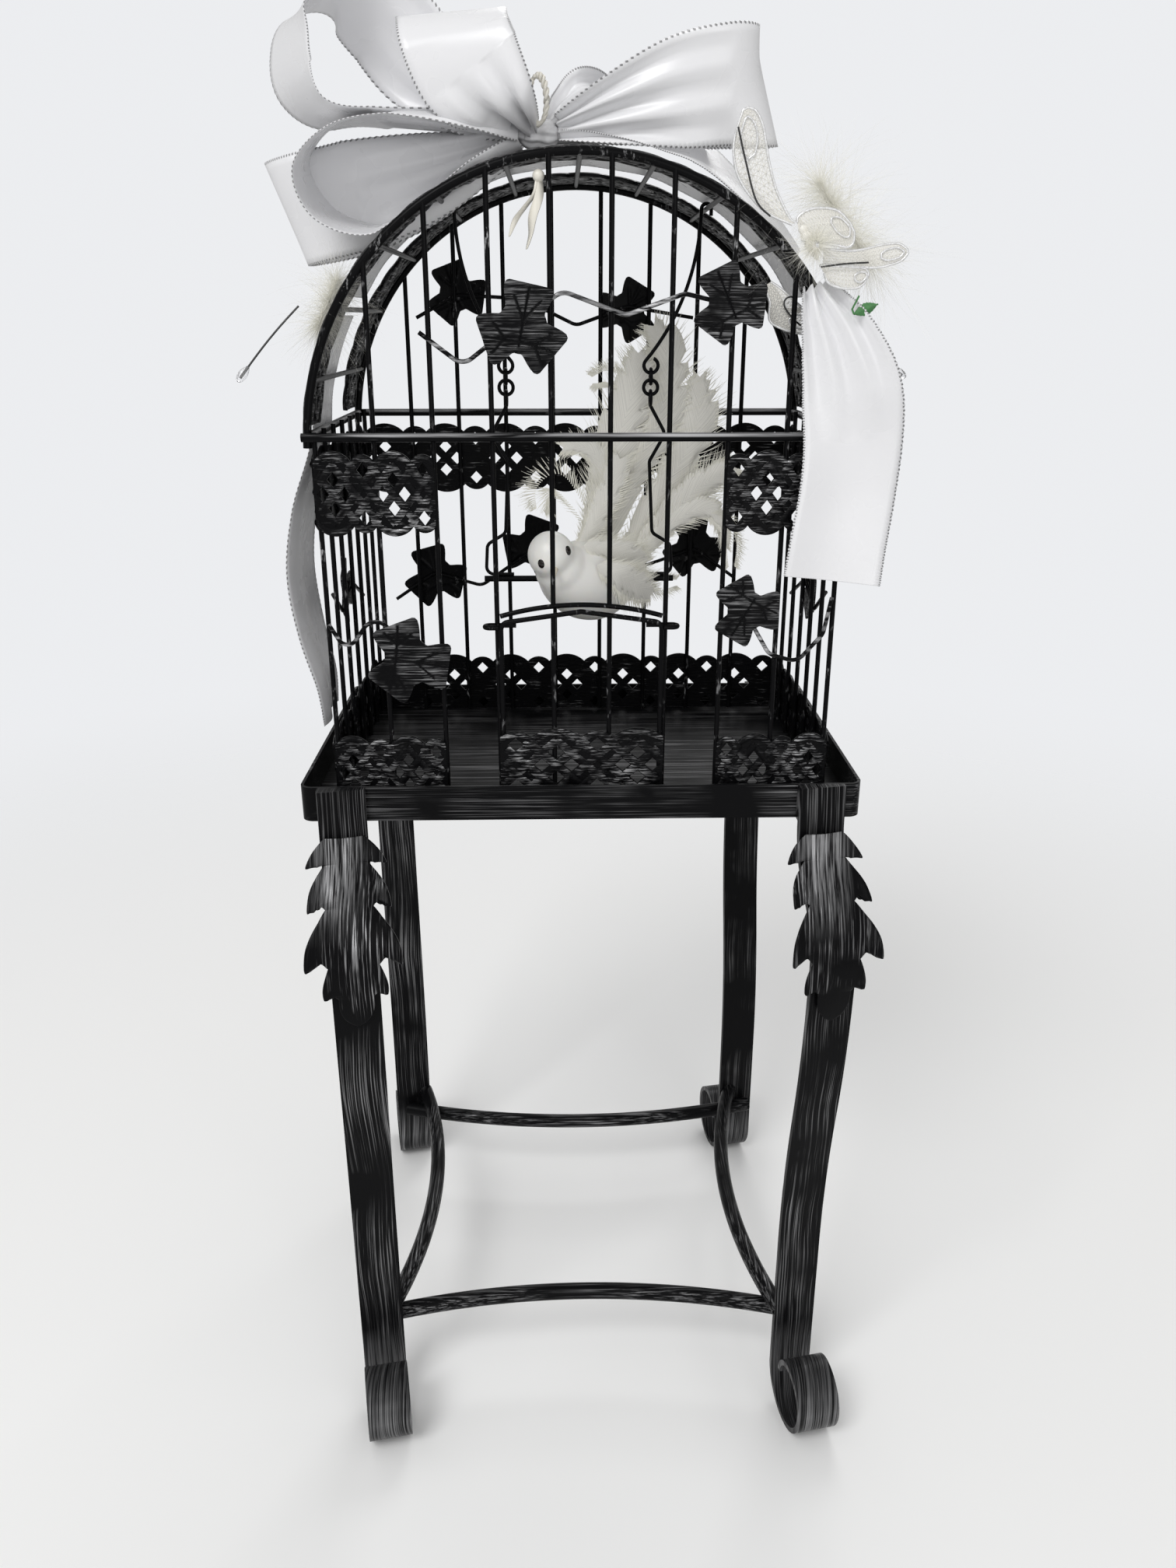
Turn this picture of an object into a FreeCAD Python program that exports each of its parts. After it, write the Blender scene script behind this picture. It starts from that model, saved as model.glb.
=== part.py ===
"""Wedding card box: a vaulted wire birdcage that stands loose in the tray of a four-legged stand.

Millimetres, +Z up, the front faces -Y. The origin is on the floor, midway between the feet.
Every piece is its own solid. The door slides up its two bars, the bird swings on two hooks,
and the cage lifts straight out of the tray.
"""
import FreeCAD, Part
import math
import os

V = FreeCAD.Vector

# Stand: a sheet tray on four cabriole strap legs with scroll feet
STAND_HEIGHT = 382.0
TRAY_SIDE_ROOM = 18.6
TRAY_FRONT_ROOM = 14.0
LIP_HEIGHT = 18.0
TRAY_SHEET = 1.5
TRAY_CORNER = 6.0
STRAP_WIDTH = 24.0
STRAP_THICK = 3.0
LEG_INSET = 21.0
LEG_TURN = 11.0
KNEE_OUT = 28.0
KNEE_HEIGHT = 295.0
ANKLE_OUT = 13.0
ANKLE_HEIGHT = 105.0
SCROLL_RADIUS = 22.0
SCROLL_SECOND = 18.0
SCROLL_EYE = 13.0
LEAF_SHEET = 1.2
# Half outline of a leg leaf: share of its length from the top, share of its half width
ACANTHUS = ((0.0, 0.48), (0.06, 0.64), (0.16, 0.83), (0.165, 0.50), (0.25, 0.68), (0.36, 0.82),
            (0.335, 0.60), (0.42, 0.84), (0.50, 0.96), (0.61, 1.0), (0.57, 0.66), (0.62, 0.52),
            (0.70, 0.63), (0.785, 0.65), (0.78, 0.48), (0.80, 0.29), (0.90, 0.28), (0.97, 0.17))
LEAF_HALF_WIDTH = 24.0
LEAF_DROP = 24.0
LEAF_LENGTH = 92.0
STRETCHER_DIA = 9.5
STRETCHER_HEIGHT = 52.0
STRETCHER_BOW = 18.0
WELD_GAP = 0.3

# Cage: wire box, waist rail and vaulted roof
BAR_DIA = 2.4
FRAME_DIA = 4.0
BAR_PITCH = 27.2
FRONT_PITCHES = 9
SIDE_PITCHES = 6
CAGE_DEPTH = 152.0
FLOOR_SHEET = 1.0
RAIL_HEIGHT = 183.5
ARCH_DROP = 8.3
ARCH_END_DROP = 5.0
ROOF_ROD_STEP = 15.0

# Pierced strips
STRIP_HEIGHT = 39.0
STRIP_SHEET = 1.0
STRIP_CELL = 36.0
STRIP_HOLE = 3.5
SMALL_SHARE = 0.38
SMALL_HOLE_OFF = 11.0
BIG_HOLE_OFF = 6.6
SMALL_SCALLOP = 3.0
BIG_SCALLOP = 4.5
STRIP_RAIL_GAP = 4.0
STRIP_FLOOR_GAP = 0.5
BAND_END_RISE = 12.0

# Door
HEADER_HEIGHT = 99.5
HEADER_RISE = 5.5
DOOR_GAP = 0.3
DOOR_SIDE_INSET = 1.8
HOOK_REACH = 6.0
HOOK_STUB = 9.0
DOOR_CORNER = 4.0

# Swing and bird
HOOK_CLEAR = 0.3
HOOK_TIP = 3.0
SWING_Y = 0.0
SWING_BEND = 4.0
SWING_WIRE = 1.8
SWING_ROD_ANGLE = 60.0
SWING_HALF_WIDTH = 38.0
EYE_RISE = 27.0
RING_RADIUS = 3.6
RING_CLEAR = 0.1
PERCH_DIA = 3.2
PERCH_DROP = 81.0
PERCH_OVERHANG = 14.0
# Side wire of the swing: bends below its eye and above the perch, as (x, z) steps from the eye's line
SIDE_KINK = ((8, -14), (0, -28))
SIDE_FOOT = ((2, 22), (12, 16), (13, 0), (-2, 0))
BIRD_LENGTH = 66.0
BIRD_RADIUS = 23.0
BIRD_X = 0.0
BIRD_SHIFT = -0.5
BIRD_FACING = V(-0.62, -0.74, 0.26)
FULLEST = 0.58
EGG_TIP = 0.8
HEAD_RADIUS = 12.5
HEAD_AHEAD = 24.0
HEAD_UP = 10.0
BILL_RADIUS = 2.4
BILL_TIP = 0.2
BILL_LENGTH = 8.0
EYE_RADIUS = 1.7
# Where an eye looks out of the head: ahead, aside and up
EYE_SPOT = (0.62, 0.72, 0.3)
# Each plume: lean along X, rise, and how far its tip curls back down
PLUMES = ((-34, 60, 18), (-12, 92, 10), (14, 122, 24), (40, 96, 30), (62, 62, 26))
PLUME_STEP = 3.0
PLUME_LAYER = 1.2
PLUME_BEHIND = 26.0
PLUME_UP = 5.0
PLUME_DRIFT = 0.06
PLUME_WIDTH = 9.0
PLUME_STATIONS = 7

# Vines
VINE_DIA = 2.0
VINE_BEND = 7.0
LEAF_PLATE = 1.2
# Half of an ivy leaf as arcs of (x, z) for a leaf of size 1, from its stalk to its tip
IVY_HALF = (((0, -0.45), (0.22, -0.72), (0.5, -0.68)), ((0.5, -0.68), (0.86, -0.42), (1.0, 0.08)),
            ((1.0, 0.08), (0.66, 0.16), (0.42, 0.3)), ((0.42, 0.3), (0.3, 0.72), (0, 1.0)))
# Vine wires as (x, z from the rail) points on the front, and leaves as (x, z from the rail, size, turn)
FRONT_VINES = (((-72, 45), (-53, 31), (-30, 48), (-8, 62), (20, 52), (46, 61), (68, 56)),
               ((-122, -87), (-114, -101), (-100, -82), (-86, -97)),
               ((80, -83), (92, -103), (106, -107), (118, -93), (121, -75)))
BACK_VINES = (((-66, 51), (-29, 57), (0, 47), (30, 61), (67, 63), (90, 51)),
              ((-96, -97), (-71, -79), (-30, -93), (26, -79), (58, -101), (86, -93), (110, -109)))
SIDE_VINE = ((-48, -79), (-22, -94), (6, -83), (44, -99))
FRONT_LEAVES = ((-26, 47, 20, 12), (66, 57, 17, -25), (-84, -105, 21, 100), (80, -81, 17, -150))
BACK_LEAVES = ((67, 64, 17, 20), (-29, 55, 17, -30), (86, -95, 19, 15), (26, -78, 19, -20),
               (-71, -78, 19, 10))
SIDE_LEAF = (0, -87, 17, 25)

# Ribbon, butterfly and feather picks
RIBBON_WIDTH = 46.0
RIBBON_THICK = 0.6
RIBBON_SEAT = 0.3
KNOT_RADIUS = 8.0
KNOT_ANGLE = 97.6
KNOT_Y = -46.0
GATHER_WIDTH = 10.0
GATHER_RUN = 45.0
LOOP_GAP = 0.9
LOOP_START = 0.1
LOOP_STATIONS = 14
# Each bow loop: outward direction, the direction it opens in, length and height
BOW_LOOPS = ((V(-0.985, -0.08, -0.12), V(0, -0.2, 1), 106, 21),
             (V(-0.955, -0.04, 0.29), V(0, -0.2, 1), 102, 24),
             (V(-0.52, 0.05, 0.85), V(0, -1, 0), 50, 30),
             (V(0.965, 0.05, 0.26), V(0, -1, 0.1), 92, 34))
TIE_RADIUS = 7.0
TIE_WIRE = 2.4
TIE_LEAN = V(0, -0.64, 0.77)
ROOF_RIBBON_SWEEP = 116.0
TAIL_ANGLE = 35.0
TAIL_LENGTH = 130.0
TAIL_STATIONS = 12
TAIL_SWAY = 12.0
TAIL_SHIFT = 15.0
TAIL_FOLD = 4.0
TAIL_CLEAR = 5.0
TAIL_TWIST = 14.0
# Angles along the vault where the side tail lies on it, seen from the front
SIDE_TAIL_ANGLES = (152, 158, 164, 170)
SIDE_TAIL_LENGTH = 152.0
SIDE_TAIL_Y = -18.0
SIDE_TAIL_FOLD = 14.0
PICK_REACH = 157.0
PICK_OUT = 8.8
WING_ROOT = 2.0
WING_SHEET = 0.8
INSECT_LENGTH = 12.0
INSECT_RADIUS = 3.0
# A wing of span 1 and chord 1 as two arcs of (x, z) from its root and back
WING_ARCS = (((0, 0), (0.5, 0.55), (1, 0.2)), ((1, 0.2), (0.7, -0.45), (0, 0)))
# Each wing: tilt above +X in degrees, span and chord
BUTTERFLY_WINGS = ((122, 64, 25), (50, 36, 24), (-10, 54, 16), (-72, 36, 20))
BUTTERFLY_RISE = 85.0
PUFF_LENGTH = 86.0
PUFF_RADIUS = 24.0
PUFF_ANGLE = 38.0
SMALL_PUFF_LENGTH = 42.0
SMALL_PUFF_RADIUS = 14.0
SMALL_PUFF_ANGLE = 27.0
PICK_WIRE = 1.6
PICK_DROP = 28.0
PICK_FORWARD = 6.0
BEAD_RADIUS = 2.5
SPRIG_LENGTH = 11.0
SPRIG_WIDTH = 4.5
SPRIG_TURN = 22.0
SPRIG_INSET = 29.0
SPRIG_RISE = 55.0

# Places worked out from the sizes above
CAGE_BASE = STAND_HEIGHT - LIP_HEIGHT + TRAY_SHEET
HALF_WIDTH = BAR_PITCH * FRONT_PITCHES / 2
HALF_DEPTH = CAGE_DEPTH / 2
TRAY_WIDTH = 2 * (HALF_WIDTH + TRAY_SIDE_ROOM)
TRAY_DEPTH = 2 * (HALF_DEPTH + TRAY_FRONT_ROOM)
LEAF_TOP = STAND_HEIGHT - LEAF_DROP
FLOOR_BOTTOM = CAGE_BASE + FRAME_DIA
FLOOR_TOP = FLOOR_BOTTOM + FLOOR_SHEET
RAIL_Z = CAGE_BASE + RAIL_HEIGHT
ARCH_Z = RAIL_Z - ARCH_DROP
EYE_HEIGHT = RAIL_Z + EYE_RISE
PERCH_HEIGHT = RAIL_Z - PERCH_DROP
RAIL_SIDE_X = HALF_WIDTH + (BAR_DIA + FRAME_DIA) / 2
ARCH_RADIUS = math.hypot(RAIL_SIDE_X, ARCH_DROP)
ARCH_PLANE = HALF_DEPTH + (BAR_DIA - FRAME_DIA) / 2
BASE_HALF = HALF_WIDTH + (BAR_DIA - FRAME_DIA) / 2
RAIL_PLANE = HALF_DEPTH + (BAR_DIA + FRAME_DIA) / 2
SKIN_PLANE = HALF_DEPTH + BAR_DIA / 2
BAND_INNER = ARCH_RADIUS + BAR_DIA / 2
BAND_OUTER = BAND_INNER + STRIP_SHEET
DOOR_PLANE = HALF_DEPTH + BAR_DIA + DOOR_GAP
DOOR_HALF = 1.5 * BAR_PITCH
HEADER_Z = CAGE_BASE + HEADER_HEIGHT
DOOR_TOP = HEADER_Z - BAR_DIA - DOOR_GAP
BASE_STRIP_Z = CAGE_BASE + STRIP_FLOOR_GAP + STRIP_HEIGHT / 2
WAIST_STRIP_Z = RAIL_Z - FRAME_DIA / 2 - STRIP_RAIL_GAP - STRIP_HEIGHT / 2
HOOK_BEND = BAR_DIA / 2 + HOOK_CLEAR + SWING_WIRE / 2
LINK_STEP = 2 * RING_RADIUS - SWING_WIRE - RING_CLEAR
ROOF_RIBBON_RADIUS = ARCH_RADIUS + HOOK_BEND + SWING_WIRE / 2 + RIBBON_SEAT
TAIL_RADIUS = BAND_OUTER + RIBBON_SEAT + RIBBON_THICK / 2
PICK_PLANE = RAIL_PLANE + PICK_OUT
PUFF_Y = PICK_PLANE - RIBBON_SEAT - PUFF_RADIUS


# Shared construction

def rod(start, end, diameter):
    """A straight round bar between two points."""
    run = end.sub(start)
    return Part.makeCylinder(diameter / 2, run.Length, start, run)


def ring_arc(centre, axis, start, sweep, diameter):
    """A round bar bent about an axis, from a start point through a sweep in degrees."""
    spoke = start.sub(centre)
    section = Part.Face(Part.Wire(Part.makeCircle(diameter / 2, start, axis.cross(spoke))))
    return section.revolve(centre, axis, sweep)


def bent_wire(points, bend, diameter):
    """A round wire through points, with a tangent bend at each inner point."""
    edges = []
    here = points[0]
    for before, corner, after in zip(points, points[1:], points[2:]):
        back = before.sub(corner)
        ahead = after.sub(corner)
        half = back.getAngle(ahead) / 2
        setback = min(bend / math.tan(half), 0.45 * back.Length, 0.45 * ahead.Length)
        back.normalize()
        ahead.normalize()
        first = corner.add(back.multiply(setback))
        last = corner.add(ahead.multiply(setback))
        inward = first.add(last).multiply(0.5).sub(corner)
        radius = setback * math.tan(half)
        reach = math.hypot(radius, setback) - radius
        inward.normalize()
        middle = corner.add(inward.multiply(reach))
        edges.append(Part.LineSegment(here, first).toShape())
        edges.append(Part.Arc(first, middle, last).toShape())
        here = last
    edges.append(Part.LineSegment(here, points[-1]).toShape())
    path = Part.Wire(edges)
    section = Part.Wire(Part.makeCircle(diameter / 2, points[0], points[1].sub(points[0])))
    return path.makePipeShell([section], True, False)


def tangent_arcs(points, heading):
    """Plane arcs through (s, z) points, each leaving along the last heading.

    Returns a list of (start, middle, end, heading at start, heading at middle, heading at end).
    """
    arcs = []
    for (s0, z0), (s1, z1) in zip(points, points[1:]):
        chord = math.hypot(s1 - s0, z1 - z0)
        along = math.atan2(z1 - z0, s1 - s0)
        turn = math.remainder(along - heading, 2 * math.pi)
        sagitta = chord / 2 * math.tan(turn / 2)
        middle = ((s0 + s1) / 2 + sagitta * math.sin(along), (z0 + z1) / 2 - sagitta * math.cos(along))
        arcs.append(((s0, z0), middle, (s1, z1), heading, along, heading + 2 * turn))
        heading += 2 * turn
    return arcs


def side_of(point, heading, offset):
    """A point set off to the left of a heading, in the XZ plane with s along X."""
    return V(point[0] - offset * math.sin(heading), 0, point[1] + offset * math.cos(heading))


def strap_between(arcs, low, high, width):
    """A flat strap along plane arcs, between two offsets from the arcs, centred on Y = 0."""
    edges = []
    for start, middle, end, h0, hm, h1 in arcs:
        a = side_of(start, h0, low)
        b = side_of(end, h1, low)
        if abs(math.remainder(h1 - h0, 2 * math.pi)) < 1e-9:
            edges.append(Part.LineSegment(a, b).toShape())
        else:
            edges.append(Part.Arc(a, side_of(middle, hm, low), b).toShape())
    end, h1 = arcs[-1][2], arcs[-1][5]
    edges.append(Part.LineSegment(side_of(end, h1, low), side_of(end, h1, high)).toShape())
    for start, middle, end, h0, hm, h1 in reversed(arcs):
        a = side_of(end, h1, high)
        b = side_of(start, h0, high)
        if abs(math.remainder(h1 - h0, 2 * math.pi)) < 1e-9:
            edges.append(Part.LineSegment(a, b).toShape())
        else:
            edges.append(Part.Arc(a, side_of(middle, hm, high), b).toShape())
    start, h0 = arcs[0][0], arcs[0][3]
    edges.append(Part.LineSegment(side_of(start, h0, high), side_of(start, h0, low)).toShape())
    solid = Part.Face(Part.Wire(edges)).extrude(V(0, width, 0))
    solid.translate(V(0, -width / 2, 0))
    return solid


def ribbon(stations):
    """A thin ribbon through stations of (centre, width direction, face normal, width)."""
    rims = []
    for centre, across, normal, width in stations:
        a = V(across)
        a.normalize()
        a.multiply(width / 2)
        n = V(normal)
        n.normalize()
        n.multiply(RIBBON_THICK / 2)
        rims.append([centre.sub(a).sub(n), centre.add(a).sub(n), centre.add(a).add(n), centre.sub(a).add(n)])
    faces = [Part.Face(Part.makePolygon(rim + rim[:1])) for rim in (rims[0], rims[-1])]
    for here, ahead in zip(rims, rims[1:]):
        for i in range(len(here)):
            near = Part.makeLine(here[i - 1], here[i])
            faces.append(Part.makeRuledSurface(near, Part.makeLine(ahead[i - 1], ahead[i])))
    shell = Part.makeShell(faces)
    shell.sewShape()
    solid = Part.makeSolid(shell)
    return solid if solid.Volume > 0 else solid.reversed()


def both_sides(shape):
    """A shape and its mirror image across the YZ plane."""
    return [shape, shape.mirror(V(0, 0, 0), V(1, 0, 0))]


# Stand

def leg_arcs():
    """The leg's centre line in (out, up), from the tray lip down to the end of the scroll."""
    top = STRAP_THICK / 2
    shoulder = STAND_HEIGHT - LIP_HEIGHT
    ankle = top + ANKLE_OUT
    scroll_z = SCROLL_RADIUS + STRAP_THICK / 2
    line = [(top, STAND_HEIGHT), (top, shoulder),
            (top + KNEE_OUT / 2, (shoulder + KNEE_HEIGHT) / 2), (top + KNEE_OUT, KNEE_HEIGHT),
            ((top + KNEE_OUT + ankle) / 2, (KNEE_HEIGHT + ANKLE_HEIGHT) / 2), (ankle, ANKLE_HEIGHT),
            (ankle, scroll_z)]
    arcs = tangent_arcs(line, -math.pi / 2)
    for radius in (SCROLL_RADIUS, SCROLL_RADIUS, SCROLL_SECOND, SCROLL_EYE):
        here, heading = arcs[-1][2], arcs[-1][5]
        along = heading + math.pi / 4
        chord = radius * math.sqrt(2)
        end = (here[0] + chord * math.cos(along), here[1] + chord * math.sin(along))
        arcs += tangent_arcs([here, end], heading)
    return arcs


def place_leg(shape, x_sign, y_sign):
    """Turn a leg that points along +X to face front or back, and set one edge of it against the lip.

    All four are welded on with the same twist, so the stand looks the same after half a turn.
    """
    placed = shape.copy()
    facing = -90.0 if y_sign < 0 else 90.0
    placed.rotate(V(0, 0, 0), V(0, 0, 1), facing + LEG_TURN)
    placed.translate(V(x_sign * (TRAY_WIDTH / 2 - LEG_INSET), y_sign * (TRAY_DEPTH / 2 + twist_gap() / 2), 0))
    return placed


def twist_gap():
    """How far the loose edge of a turned strap stands off the lip."""
    return STRAP_WIDTH * math.sin(math.radians(LEG_TURN))


def leg(x_sign, y_sign):
    """A strap leg with the weld that fills the wedge behind its turned top."""
    straight = strap_between(leg_arcs(), -STRAP_THICK / 2, STRAP_THICK / 2, STRAP_WIDTH)
    strap = place_leg(straight, x_sign, y_sign)
    centre_x = x_sign * (TRAY_WIDTH / 2 - LEG_INSET)
    lip = y_sign * TRAY_DEPTH / 2
    reach = STRAP_WIDTH / 2 * math.cos(math.radians(LEG_TURN))
    held = V(centre_x - y_sign * reach, lip, STAND_HEIGHT - LIP_HEIGHT)
    loose = V(centre_x + y_sign * reach, lip, STAND_HEIGHT - LIP_HEIGHT)
    far = loose.add(V(0, y_sign * twist_gap(), 0))
    weld = Part.Face(Part.makePolygon([held, loose, far, held])).extrude(V(0, 0, LIP_HEIGHT))
    return strap.fuse(weld).removeSplitter()


def leg_leaf(x_sign):
    """A pressed acanthus leaf on the outer face of a front leg, cut from a sheet bent to the leg."""
    outside = STRAP_THICK / 2
    sheet = strap_between(leg_arcs()[:5], outside, outside + LEAF_SHEET, 2 * LEAF_HALF_WIDTH)
    right = [V(0, LEAF_HALF_WIDTH * w, LEAF_TOP - LEAF_LENGTH * t) for t, w in ACANTHUS]
    left = [V(0, -p.y, p.z) for p in reversed(right)]
    corners = right + [V(0, 0, LEAF_TOP - LEAF_LENGTH)] + left
    blank = Part.Face(Part.makePolygon(corners + corners[:1])).extrude(V(KNEE_OUT + 4 * STRAP_THICK, 0, 0))
    return place_leg(sheet.common(blank), x_sign, -1)


def round_corners(block, radius):
    """A block with its four upright edges rounded."""
    upright = [edge for edge in block.Edges if abs(edge.Vertexes[0].Z - edge.Vertexes[-1].Z) > radius]
    return block.makeFillet(radius, upright)


def tray():
    """An open sheet pan with rounded corners."""
    outer = Part.makeBox(TRAY_WIDTH, TRAY_DEPTH, LIP_HEIGHT, V(-TRAY_WIDTH / 2, -TRAY_DEPTH / 2, 0))
    inner = Part.makeBox(TRAY_WIDTH - 2 * TRAY_SHEET, TRAY_DEPTH - 2 * TRAY_SHEET, LIP_HEIGHT,
                         V(TRAY_SHEET - TRAY_WIDTH / 2, TRAY_SHEET - TRAY_DEPTH / 2, TRAY_SHEET))
    pan = round_corners(outer, TRAY_CORNER).cut(round_corners(inner, TRAY_CORNER - TRAY_SHEET))
    pan.translate(V(0, 0, STAND_HEIGHT - LIP_HEIGHT))
    return pan


def bowed_rod(start, end, bow, diameter):
    """A round rod bent in one arc, with its middle set off by a bow."""
    middle = start.add(end).multiply(0.5).add(bow)
    arc = Part.Arc(start, middle, end)
    section = Part.Wire(Part.makeCircle(diameter / 2, start, arc.tangent(arc.FirstParameter)[0]))
    return Part.Wire(arc.toShape()).makePipeShell([section], True, False)


def stretcher_front(y_sign, legs):
    """A rod between two legs on one side, notched against the backs of their straps."""
    back = TRAY_DEPTH / 2 + ANKLE_OUT - STRETCHER_DIA / 4
    x = TRAY_WIDTH / 2 - LEG_INSET + STRAP_WIDTH / 4
    start = V(-x, y_sign * back, STRETCHER_HEIGHT)
    end = V(x, y_sign * back, STRETCHER_HEIGHT)
    whole = bowed_rod(start, end, V(0, -y_sign * STRETCHER_BOW, 0), STRETCHER_DIA)
    return biggest(whole.cut(Part.makeCompound(legs)))


def stretcher_side(x_sign, legs):
    """A rod from a front leg to a back leg, just above the other two rods."""
    x = x_sign * (TRAY_WIDTH / 2 - LEG_INSET - STRAP_WIDTH / 4)
    height = STRETCHER_HEIGHT + STRETCHER_DIA + WELD_GAP
    reach = TRAY_DEPTH / 2 + ANKLE_OUT + STRAP_THICK / 2 + twist_gap()
    bow = V(-x_sign * STRETCHER_BOW, 0, 0)
    whole = bowed_rod(V(x, -reach, height), V(x, reach, height), bow, STRETCHER_DIA)
    return biggest(whole.cut(Part.makeCompound(legs)))


def biggest(shape):
    """The largest solid of a cut."""
    return max(shape.Solids, key=lambda solid: solid.Volume)


# Cage wires

def arch(y_sign):
    """A round bar bent to the vault, whose ends drop just below the rail."""
    low = ARCH_DROP - ARCH_END_DROP
    begin = math.degrees(math.asin(low / ARCH_RADIUS))
    centre = V(0, y_sign * ARCH_PLANE, ARCH_Z)
    start = arch_point(begin, ARCH_RADIUS, y_sign * ARCH_PLANE)
    return ring_arc(centre, V(0, -1, 0), start, 180 - 2 * begin, FRAME_DIA)


def arch_point(angle, radius, y):
    """A point of the vault at an angle from +X, seen from the front."""
    a = math.radians(angle)
    return V(radius * math.cos(a), y, ARCH_Z + radius * math.sin(a))


def vault_height(x):
    """The height of the vault's centre line above an X."""
    return ARCH_Z + math.sqrt(ARCH_RADIUS ** 2 - x ** 2)


def face_bars(y_sign, header=None):
    """The upright bars of the front or the back, up to the arch, or the rail at the corners."""
    bars = []
    y = y_sign * HALF_DEPTH
    bow = arch(y_sign)
    for i in range(FRONT_PITCHES + 1):
        x = BAR_PITCH * (i - FRONT_PITCHES / 2)
        corner = i in (0, FRONT_PITCHES)
        top = RAIL_Z + FRAME_DIA / 2 if corner else vault_height(x)
        over_door = header is not None and abs(x) < DOOR_HALF - BAR_DIA
        bottom = HEADER_Z + HEADER_RISE if over_door else FLOOR_TOP
        bar = rod(V(x, y, bottom), V(x, y, top), BAR_DIA)
        if not corner:
            bar = bar.cut(bow)
        if over_door:
            bar = bar.cut(header)
        bars.append(max(bar.Solids, key=lambda solid: solid.BoundBox.ZLength))
    return bars


def side_bars():
    """The upright bars between the corners of both sides, up to the rail."""
    pitch = CAGE_DEPTH / SIDE_PITCHES
    bars = []
    for i in range(1, SIDE_PITCHES):
        y = pitch * i - HALF_DEPTH
        foot = V(HALF_WIDTH, y, FLOOR_TOP)
        bars += both_sides(rod(foot, V(HALF_WIDTH, y, RAIL_Z + FRAME_DIA / 2), BAR_DIA))
    return bars


def base_frame():
    """Four rods on the tray floor, butted at the corners, under the cage floor."""
    z = CAGE_BASE + FRAME_DIA / 2
    r = FRAME_DIA / 2
    rods = []
    for y in (-ARCH_PLANE, ARCH_PLANE):
        rods.append(rod(V(-BASE_HALF - r, y, z), V(BASE_HALF + r, y, z), FRAME_DIA))
    for x in (-BASE_HALF, BASE_HALF):
        rods.append(rod(V(x, r - ARCH_PLANE, z), V(x, ARCH_PLANE - r, z), FRAME_DIA))
    return rods


def cage_floor():
    """A flat sheet on the base frame that carries the bars."""
    margin = BAR_DIA / 2
    return Part.makeBox(2 * (HALF_WIDTH + margin), 2 * (HALF_DEPTH + margin), FLOOR_SHEET,
                        V(-HALF_WIDTH - margin, -HALF_DEPTH - margin, FLOOR_BOTTOM))


def waist_rail(arches):
    """Front and back rails across the bars, and side rails between the ends of the arches."""
    rods = []
    end = RAIL_SIDE_X + FRAME_DIA / 2
    for y in (-RAIL_PLANE, RAIL_PLANE):
        rods.append(rod(V(-end, y, RAIL_Z), V(end, y, RAIL_Z), FRAME_DIA))
    for x in (-RAIL_SIDE_X, RAIL_SIDE_X):
        side = rod(V(x, -ARCH_PLANE, RAIL_Z), V(x, ARCH_PLANE, RAIL_Z), FRAME_DIA)
        rods.append(biggest(side.cut(Part.makeCompound(arches))))
    return rods


def roof_rods(arches):
    """Rods along the vault from arch to arch."""
    rods = []
    count = round(180 / ROOF_ROD_STEP)
    for i in range(1, count):
        start = arch_point(i * ROOF_ROD_STEP, ARCH_RADIUS, -ARCH_PLANE)
        end = arch_point(i * ROOF_ROD_STEP, ARCH_RADIUS, ARCH_PLANE)
        rods.append(biggest(rod(start, end, BAR_DIA).cut(Part.makeCompound(arches))))
    return rods


# Pierced strips

def hole_places(cells, cell):
    """Centres of the diamond holes of a strip, from its middle line, along and up."""
    places = []
    for i in range(cells):
        small = cell * (i + SMALL_SHARE / 2)
        big = cell * (i + (1 + SMALL_SHARE) / 2)
        aside = BIG_HOLE_OFF * cell / STRIP_CELL
        places += [(small, -SMALL_HOLE_OFF), (small, SMALL_HOLE_OFF)]
        places += [(big, -BIG_HOLE_OFF), (big, BIG_HOLE_OFF)]
        places += [(big - aside, 0), (big + aside, 0)]
    return places


def diamond(u, v, size, cell):
    """A closed diamond in the XZ plane, drawn in along X with its cell."""
    reach = size * cell / STRIP_CELL
    corners = [V(u - reach, 0, v), V(u, 0, v - size), V(u + reach, 0, v), V(u, 0, v + size)]
    return Part.makePolygon(corners + corners[:1])


def scallops(cells, cell, height, direction):
    """The scalloped edge of a strip: small and large arcs by turns, outward along the direction."""
    edges = []
    for i in range(cells):
        for begin, end, rise in ((0, SMALL_SHARE, SMALL_SCALLOP), (SMALL_SHARE, 1, BIG_SCALLOP)):
            start = V(cell * (i + begin), 0, height)
            stop = V(cell * (i + end), 0, height)
            crown = V((start.x + stop.x) / 2, 0, height + direction * rise)
            edges.append(Part.Arc(start, crown, stop).toShape())
    return edges


def strip(length):
    """A pierced strip along X from 0, with its middle line at Z = 0 and its front at Y = 0."""
    cells = max(2, round(length / STRIP_CELL))
    cell = length / cells
    half = STRIP_HEIGHT / 2 - BIG_SCALLOP
    edges = scallops(cells, cell, half, 1) + scallops(cells, cell, -half, -1)
    for x in (0, length):
        edges.append(Part.LineSegment(V(x, 0, -half), V(x, 0, half)).toShape())
    rim = Part.Wire(Part.__sortEdges__(edges))
    holes = [diamond(u, v, STRIP_HOLE, cell) for u, v in hole_places(cells, cell)]
    return Part.Face([rim] + holes).extrude(V(0, STRIP_SHEET, 0))


def front_strip(x0, x1, middle, plane):
    """A strip on the front between two X, with its back on a plane."""
    piece = strip(x1 - x0)
    piece.translate(V(x0, -plane - STRIP_SHEET, middle))
    return piece


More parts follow.
